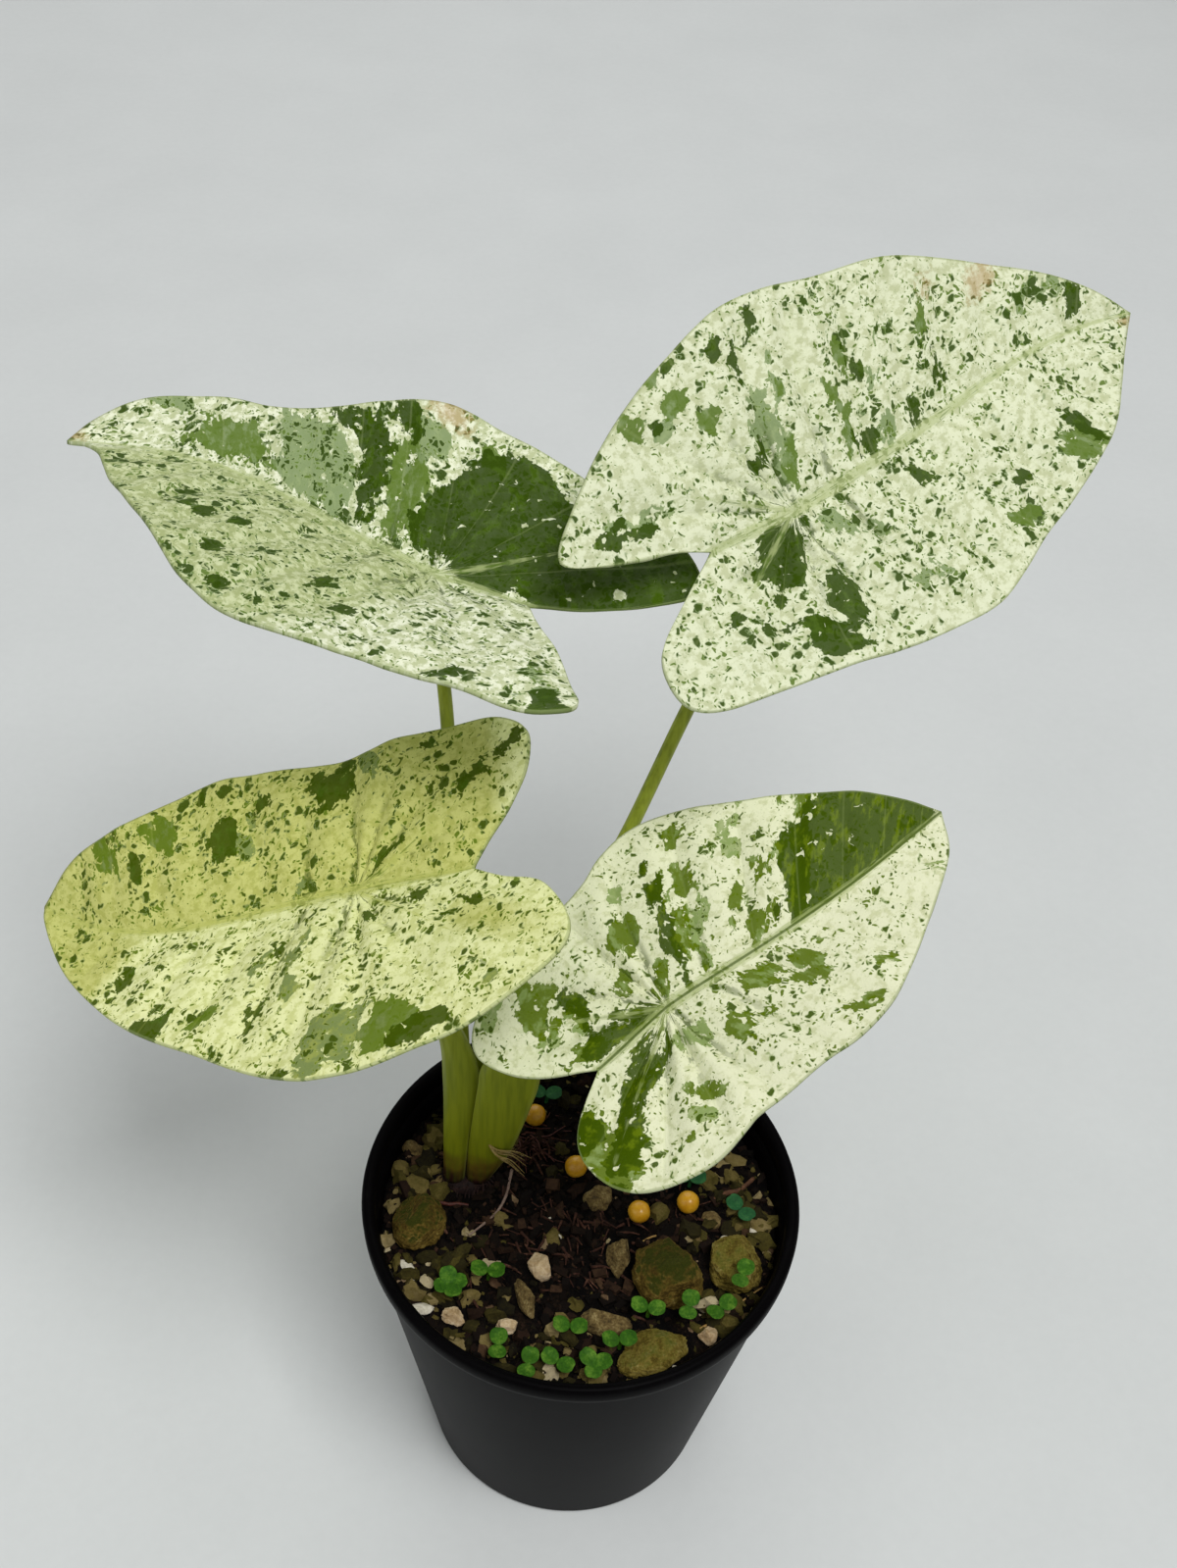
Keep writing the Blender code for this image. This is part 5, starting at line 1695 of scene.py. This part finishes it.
    def free_spots(self, draw: random.Random, least: float, more: float, power: float,
                   share: Callable[[float, float], float] | None = None) -> Iterator[tuple[Vector, float]]:
        """Draws free places on the soil without end, each with a size.

        Args:
            draw: Where they come from.
            least: The smallest size.
            more: How much larger the largest is.
            power: How much rarer the large sizes are.
            share: The share of the places that are wanted there, if not all.

        Yields:
            The place on the surface and the size.
        """
        while True:
            x, y = self.anywhere(draw)
            size = least + more * draw.random() ** power
            if share and draw.random() > share(x, y):
                continue
            spot = None if self.taken(x, y, size) else self.ground(x, y)
            if spot:
                yield spot, size

    def scatter_bark(self) -> None:
        """Scatters bark chips and crumbs over the soil."""
        draw = random.Random(self.seed)
        for name, count, least, more, splinters in (
                ("bark_chips", self.chips, 0.8, 1.5, self.splinters),
                ("soil_crumbs", self.crumbs, 0.3, 0.45, 0.0)):
            heap = Heap()
            for spot, size in islice(self.free_spots(draw, least, more, 2.2), count):
                half = Vector((size, size * draw.uniform(0.45, 0.8), size * draw.uniform(0.22, 0.5)))
                turn = (Matrix.Rotation(draw.uniform(0, math.tau), 3, "Z")
                        @ Matrix.Rotation(draw.uniform(-0.45, 0.45), 3, "X")
                        @ Matrix.Rotation(draw.uniform(-0.45, 0.45), 3, "Y"))
                spot += Vector((0, 0, half.z * draw.uniform(0.2, 0.75)))
                shade = min(1.0, max(0.0, draw.gauss(0.33, 0.17) + (0.35 if draw.random() < 0.06 else 0.0)))
                if splinters and draw.random() < splinters:
                    heap.add(lambda bm: add_splinter(bm, spot, half, turn, draw), shade)
                else:
                    heap.add(lambda bm: add_lump(bm, spot, half, turn, 1, 0.8, draw.uniform(0, 90)), shade)
            bits = finished(heap.done(), name, [BARK_BITS], "soil_mix")
            bits.data.set_sharp_from_angle(angle=math.radians(35))

    def grit_share(self, x: float, y: float) -> float:
        """How much grit a place has: much along the wall and in front, little round the plant."""
        return 0.05 + 0.94 * smooth(18.0, 34.0, math.hypot(x, y)) * (0.35 if y > 14 else 1.0)

    def scatter_grit(self) -> None:
        """Scatters grit over the soil, where it has some."""
        draw = random.Random(self.seed + 2)
        heap = Heap()
        for spot, size in islice(self.free_spots(draw, 0.55, 2.3, 2.8, self.grit_share), self.grit):
            half = Vector((size, size * draw.uniform(0.5, 0.95), size * draw.uniform(0.45, 0.75)))
            turn = (Matrix.Rotation(draw.uniform(0, math.tau), 3, "Z")
                    @ Matrix.Rotation(draw.uniform(-0.4, 0.4), 3, "X"))
            spot += Vector((0, 0, 0.3 * half.z))
            fineness = 2 if size > 1.2 else 1
            seed = draw.uniform(0, 90)
            shade = min(1.0, max(0.05, draw.gauss(0.32, 0.2) + (0.35 if draw.random() < 0.14 else 0.0)))
            heap.add(lambda bm: add_lump(bm, spot, half, turn, fineness, 0.9, seed), shade)
        bits = finished(heap.done(), "river_grit", [GRIT_BITS], "brown_stone")
        bits.data.set_sharp_from_angle(angle=math.radians(40))

    def lay_bits(self, name: str, finish: Finish, slot: str, bits: tuple[tuple[float, ...], ...]) -> None:
        """Lays bits of grit one by one.

        Args:
            name: The piece's name.
            finish: Its finish.
            slot: Its material slot.
            bits: The bits.
        """
        bm = bmesh.new()
        for i, (x, y, wide, deep) in enumerate(bits):
            spot = self.on_bed([(x, y)], 0.25 * deep)[0]
            turn = Matrix.Rotation(i * 1.1, 3, "Z") @ Matrix.Rotation(0.15, 3, "X")
            add_lump(bm, spot, Vector((wide, deep, 0.6 * deep)), turn, 4, 0.35, i * 3.3 + 1)
        finished(bm, name, [finish], slot)

    def on_bed(self, points: Any, lift: float) -> list[Vector]:
        """Lays a line of (x, y) points on the soil.

        Args:
            points: The line from above.
            lift: How far it lies over the surface.

        Returns:
            The line's points.
        """
        out = []
        for x, y in points:
            spot = self.ground(x, y)
            out.append(Vector((x, y, (spot.z if spot else self.soil_top) + lift)))
        return out

    def build_strands(self) -> None:
        """Builds the twig, the dry stems, the roots and the fibres, each piece from its strands."""
        draw = random.Random(self.seed + 1)
        for name, finish, slot, nodes, strands in (
                ("twig_bark", TWIG_BARK, "bark", ("twig",), self.twig()),
                ("dry_stems", STRAW, "bark", (), self.lying(DRY_STEMS)),
                ("pale_root", PALE_ROOT, "corm_skin", (), self.lying(PALE_ROOTS)),
                ("red_roots", RED_ROOT, "corm_skin", (), self.red_roots(draw)),
                ("brown_root_mass", BROWN_ROOT, "corm_skin", (), self.brown_roots(draw)),
                ("corm_fibres", CORM_SKIN, "corm_skin", (), self.corm_fibres(draw)),
                ("old_sheath_fibres", DRY_FIBRE, "corm_skin", (), self.sheath_fibres(draw))):
            bm = bmesh.new()
            for points, radius, tip, sides in strands:
                path = curve_through(points, 5)
                sizes = []
                for i, point in enumerate(path):
                    wide = radius + (tip - radius) * i / (len(path) - 1)
                    wide *= 1 + 0.18 * noise.noise(point * 1.3)
                    sizes.append((wide, wide))
                add_tube(bm, path, sizes, sides, across=Vector((0, 0, 1)))
            finished(bm, name, [finish], slot, nodes)

    def twig(self) -> Iterator[Strand]:
        """The dry twig, where its solid lies.

        Yields:
            Its one strand.
        """
        low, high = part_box("twig")
        height = (low.z + high.z) / 2 / MM
        start, end = (Vector((x, y, height)) for x, y in self.twig_ends)
        line = []
        for i in range(7):
            t = i / 6
            line.append(start.lerp(end, t) + Vector((0.5 * math.sin(5 * t), 0.6 * math.sin(7 * t), 0)))
        yield line, 0.58, 0.45, 14

    def lying(self, lines: tuple) -> Iterator[Strand]:
        """Strands that lie on the soil.

        Args:
            lines: The points, lift and half widths of each.

        Yields:
            Each strand.
        """
        for points, lift, radius, tip in lines:
            yield self.on_bed(points, lift), radius, tip, 10

    def red_roots(self, draw: random.Random) -> Iterator[Strand]:
        """Fine red roots that creep forward from behind the plant, and a thick one in front of the corm.

        Args:
            draw: Where they get their courses.

        Yields:
            Each root.
        """
        for _ in range(self.creepers):
            x, y = self.creepers_from[0] + draw.uniform(-2.5, 3), self.creepers_from[1] + draw.uniform(-4, 4)
            line = [(x, y)]
            heading = draw.uniform(-1.2, -0.2)
            for _ in range(4):
                heading += draw.uniform(-0.5, 0.5)
                x += self.creeper_step * math.cos(heading)
                y += self.creeper_step * math.sin(heading)
                line.append((x, y))
            yield self.on_bed(line, draw.uniform(0.2, 1.1)), 0.24, 0.1, 6
        yield from self.lying(THICK_RED_ROOTS)

    def brown_roots(self, draw: random.Random) -> Iterator[Strand]:
        """Dead brown roots: arches beside the corm, slivers in front and hairs all over.

        Args:
            draw: Where they get their places.

        Yields:
            Each root.
        """
        for _ in range(self.arches):
            x, y = (draw.uniform(*limits) for limits in self.arch_area)
            turn = draw.uniform(0, math.pi)
            step = Vector((math.cos(turn), math.sin(turn))) * draw.uniform(1.2, 2.4)
            line = [(x - step.x, y - step.y), (x + draw.uniform(-0.7, 0.7), y), (x + step.x, y + step.y)]
            spots = self.on_bed(line, draw.uniform(0.3, 0.9))
            spots[1].z += draw.uniform(0.5, 3.5)
            yield spots, 0.24, 0.12, 6
        for _ in range(self.slivers):
            spot = Vector([draw.gauss(*spread) for spread in self.sliver_spread])
            if spot.length > self.sliver_reach or self.taken(spot.x, spot.y, 1.2):
                continue
            step = Matrix.Rotation(draw.gauss(-0.9, 0.6), 2) @ Vector((draw.uniform(0.8, 2.4), 0.0))
            spots = self.on_bed([spot - step, spot + step * 0.1, spot + step], draw.uniform(0.2, 0.9))
            yield spots, draw.uniform(0.2, 0.4), 0.12, 6
        for _ in range(self.hairs):
            x, y = (0.93 * part for part in self.anywhere(draw))
            if self.taken(x, y, 2.0):
                continue
            turn = draw.uniform(0, math.tau)
            step = Vector((math.cos(turn), math.sin(turn))) * draw.uniform(1.0, 2.6)
            bend = Vector((-step.y, step.x)) * draw.uniform(-0.35, 0.35)
            line = [(x - step.x, y - step.y), (x + bend.x, y + bend.y), (x + step.x, y + step.y)]
            yield self.on_bed(line, 0.5), 0.16, 0.08, 5

    def corm_fibres(self, draw: random.Random) -> Iterator[Strand]:
        """Short fibres that stand round the corm's foot.

        Args:
            draw: Where they get their places.

        Yields:
            Each fibre.
        """
        wide, deep = self.fibre_ring
        for _ in range(self.fibres):
            angle = draw.uniform(0, math.tau)
            out = Vector((math.cos(angle), math.sin(angle), 0))
            foot = Vector((self.corm[0] + wide * math.cos(angle), self.corm[1] + deep * math.sin(angle), 0))
            foot.z = self.bed_height(foot.x, foot.y) + 0.2
            rise = draw.uniform(1.2, 4.0)
            side = Vector((-out.y, out.x, 0)) * draw.uniform(-2.2, 2.2)
            points = [foot + out * 1.2, foot + Vector((0, 0, rise * 0.6)) + side * 0.4,
                      foot + Vector((0, 0, rise)) + side - out * 0.2]
            yield points, 0.2, 0.08, 5

    def sheath_fibres(self, draw: random.Random) -> Iterator[Strand]:
        """What is left of an old sheath: a tuft on the soil, and a few long strays between the stalks.

        Args:
            draw: Where they get their places.

        Yields:
            Each fibre.
        """
        for _ in range(self.frays):
            x, y = (draw.gauss(*spread) for spread in self.fray_spread)
            lean = Vector((draw.uniform(-1.4, 1.4), draw.uniform(-0.8, 0.8), draw.uniform(1.0, 2.6)))
            start = Vector((x, y, self.bed_height(x, y) + 0.2))
            bent = start + lean * 0.5 + Vector((draw.uniform(-0.4, 0.4), 0, 0))
            yield [start, bent, start + lean], 0.16, 0.06, 5
        for _ in range(self.strays):
            stray = Vector((draw.uniform(-0.5, 0.7), draw.uniform(-0.7, 0.5), draw.uniform(-0.6, 0.5)))
            yield [Vector(p) + stray * i + Vector((0, 0, draw.uniform(-0.4, 0.4)))
                   for i, p in enumerate(STRAY_FIBRE)], 0.18, 0.07, 5


# Studio

@dataclass
class Studio:
    """A pale floor, soft lights and the camera that took the reference view.

    A lamp is its name, its place and size in metres, and its power.
    """

    eye: tuple[float, float, float] = (-3.985, -228.559, 422.501)
    down: float = 44.5675
    roll: float = -0.064643
    focal_px: float = 2000.0
    frame_px: float = 1599.0
    sensor: float = 36.0
    floor_half: float = 1500.0
    sky: str = "#f4f5f5"
    sky_power: float = 0.34
    lit: tuple[float, float, float] = (0.0, 0.0, 0.12)
    lamps: tuple[tuple[str, tuple[float, float, float], float, float], ...] = (
        ("key", (0.45, -0.75, 2.0), 0.8, 27.0), ("fill", (-0.7, -0.4, 0.7), 0.9, 1.2),
        ("back", (-0.1, 0.9, 0.8), 0.8, 2.0))

    def build(self) -> None:
        """Builds the floor, the lights and the camera."""
        self.build_floor()
        self.build_lights()
        self.build_camera()

    def build_floor(self) -> None:
        """Builds the floor, which isn't part of the object."""
        bm = bmesh.new()
        bmesh.ops.create_grid(bm, x_segments=1, y_segments=1, size=self.floor_half)
        mesh = mesh_from(bm, "floor")
        mesh.materials.append(PAPER_FLOOR.material())
        placed("floor", mesh)

    def build_lights(self) -> None:
        """Builds the soft sky and the lamps."""
        world = bpy.data.worlds.new("studio")
        world.use_nodes = True
        background = world.node_tree.nodes["Background"].inputs
        background["Color"].default_value = linear(self.sky)
        background["Strength"].default_value = self.sky_power
        bpy.context.scene.world = world
        for name, place, size, power in self.lamps:
            light = bpy.data.lights.new(name, "AREA")
            light.size = size
            light.energy = power
            lamp = placed(name, light)
            lamp.location = place
            lamp.rotation_euler = (Vector(self.lit) - Vector(place)).to_track_quat("-Z", "Y").to_euler()

    def build_camera(self) -> None:
        """Builds the camera where the reference view was taken from."""
        tilt = math.radians(self.down)
        ahead = Vector((0, math.cos(tilt), -math.sin(tilt)))
        right = Vector((1, 0, 0))
        below = ahead.cross(right)
        right_rolled = right * math.cos(self.roll) + below * math.sin(self.roll)
        below_rolled = below * math.cos(self.roll) - right * math.sin(self.roll)
        camera = bpy.data.cameras.new("photo_camera")
        camera.sensor_width = self.sensor
        camera.lens = self.sensor * self.focal_px / self.frame_px
        camera.clip_start = 0.01
        view = placed("photo_camera", camera)
        turn = Matrix((right_rolled, -below_rolled, -ahead)).transposed()
        view.matrix_world = Matrix.Translation(Vector(self.eye) * MM) @ turn.to_4x4()
        bpy.context.scene.camera = view
        bpy.context.scene.view_settings.view_transform = "Standard"


def main() -> None:
    """Loads the frame and builds every sub-assembly in order."""
    logging.basicConfig(level=logging.INFO, format="%(name)s: %(message)s", stream=sys.stdout)
    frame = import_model()
    Studio().build()

    soil = frame["nodes"]["soil"].data.materials
    soil.clear()
    soil.append(SOIL_MIX.material())

    NurseryPot().build()
    for name, leaf in LEAVES.items():
        Blade(f"blade_{name}", leaf).build()
        Stalk(f"stalk_{name}", leaf, STALKS[name]).build()
    Stones().build()
    FeedBeads().build()
    Seedlings().build()
    Litter().build()


if __name__ == "__main__":
    main()
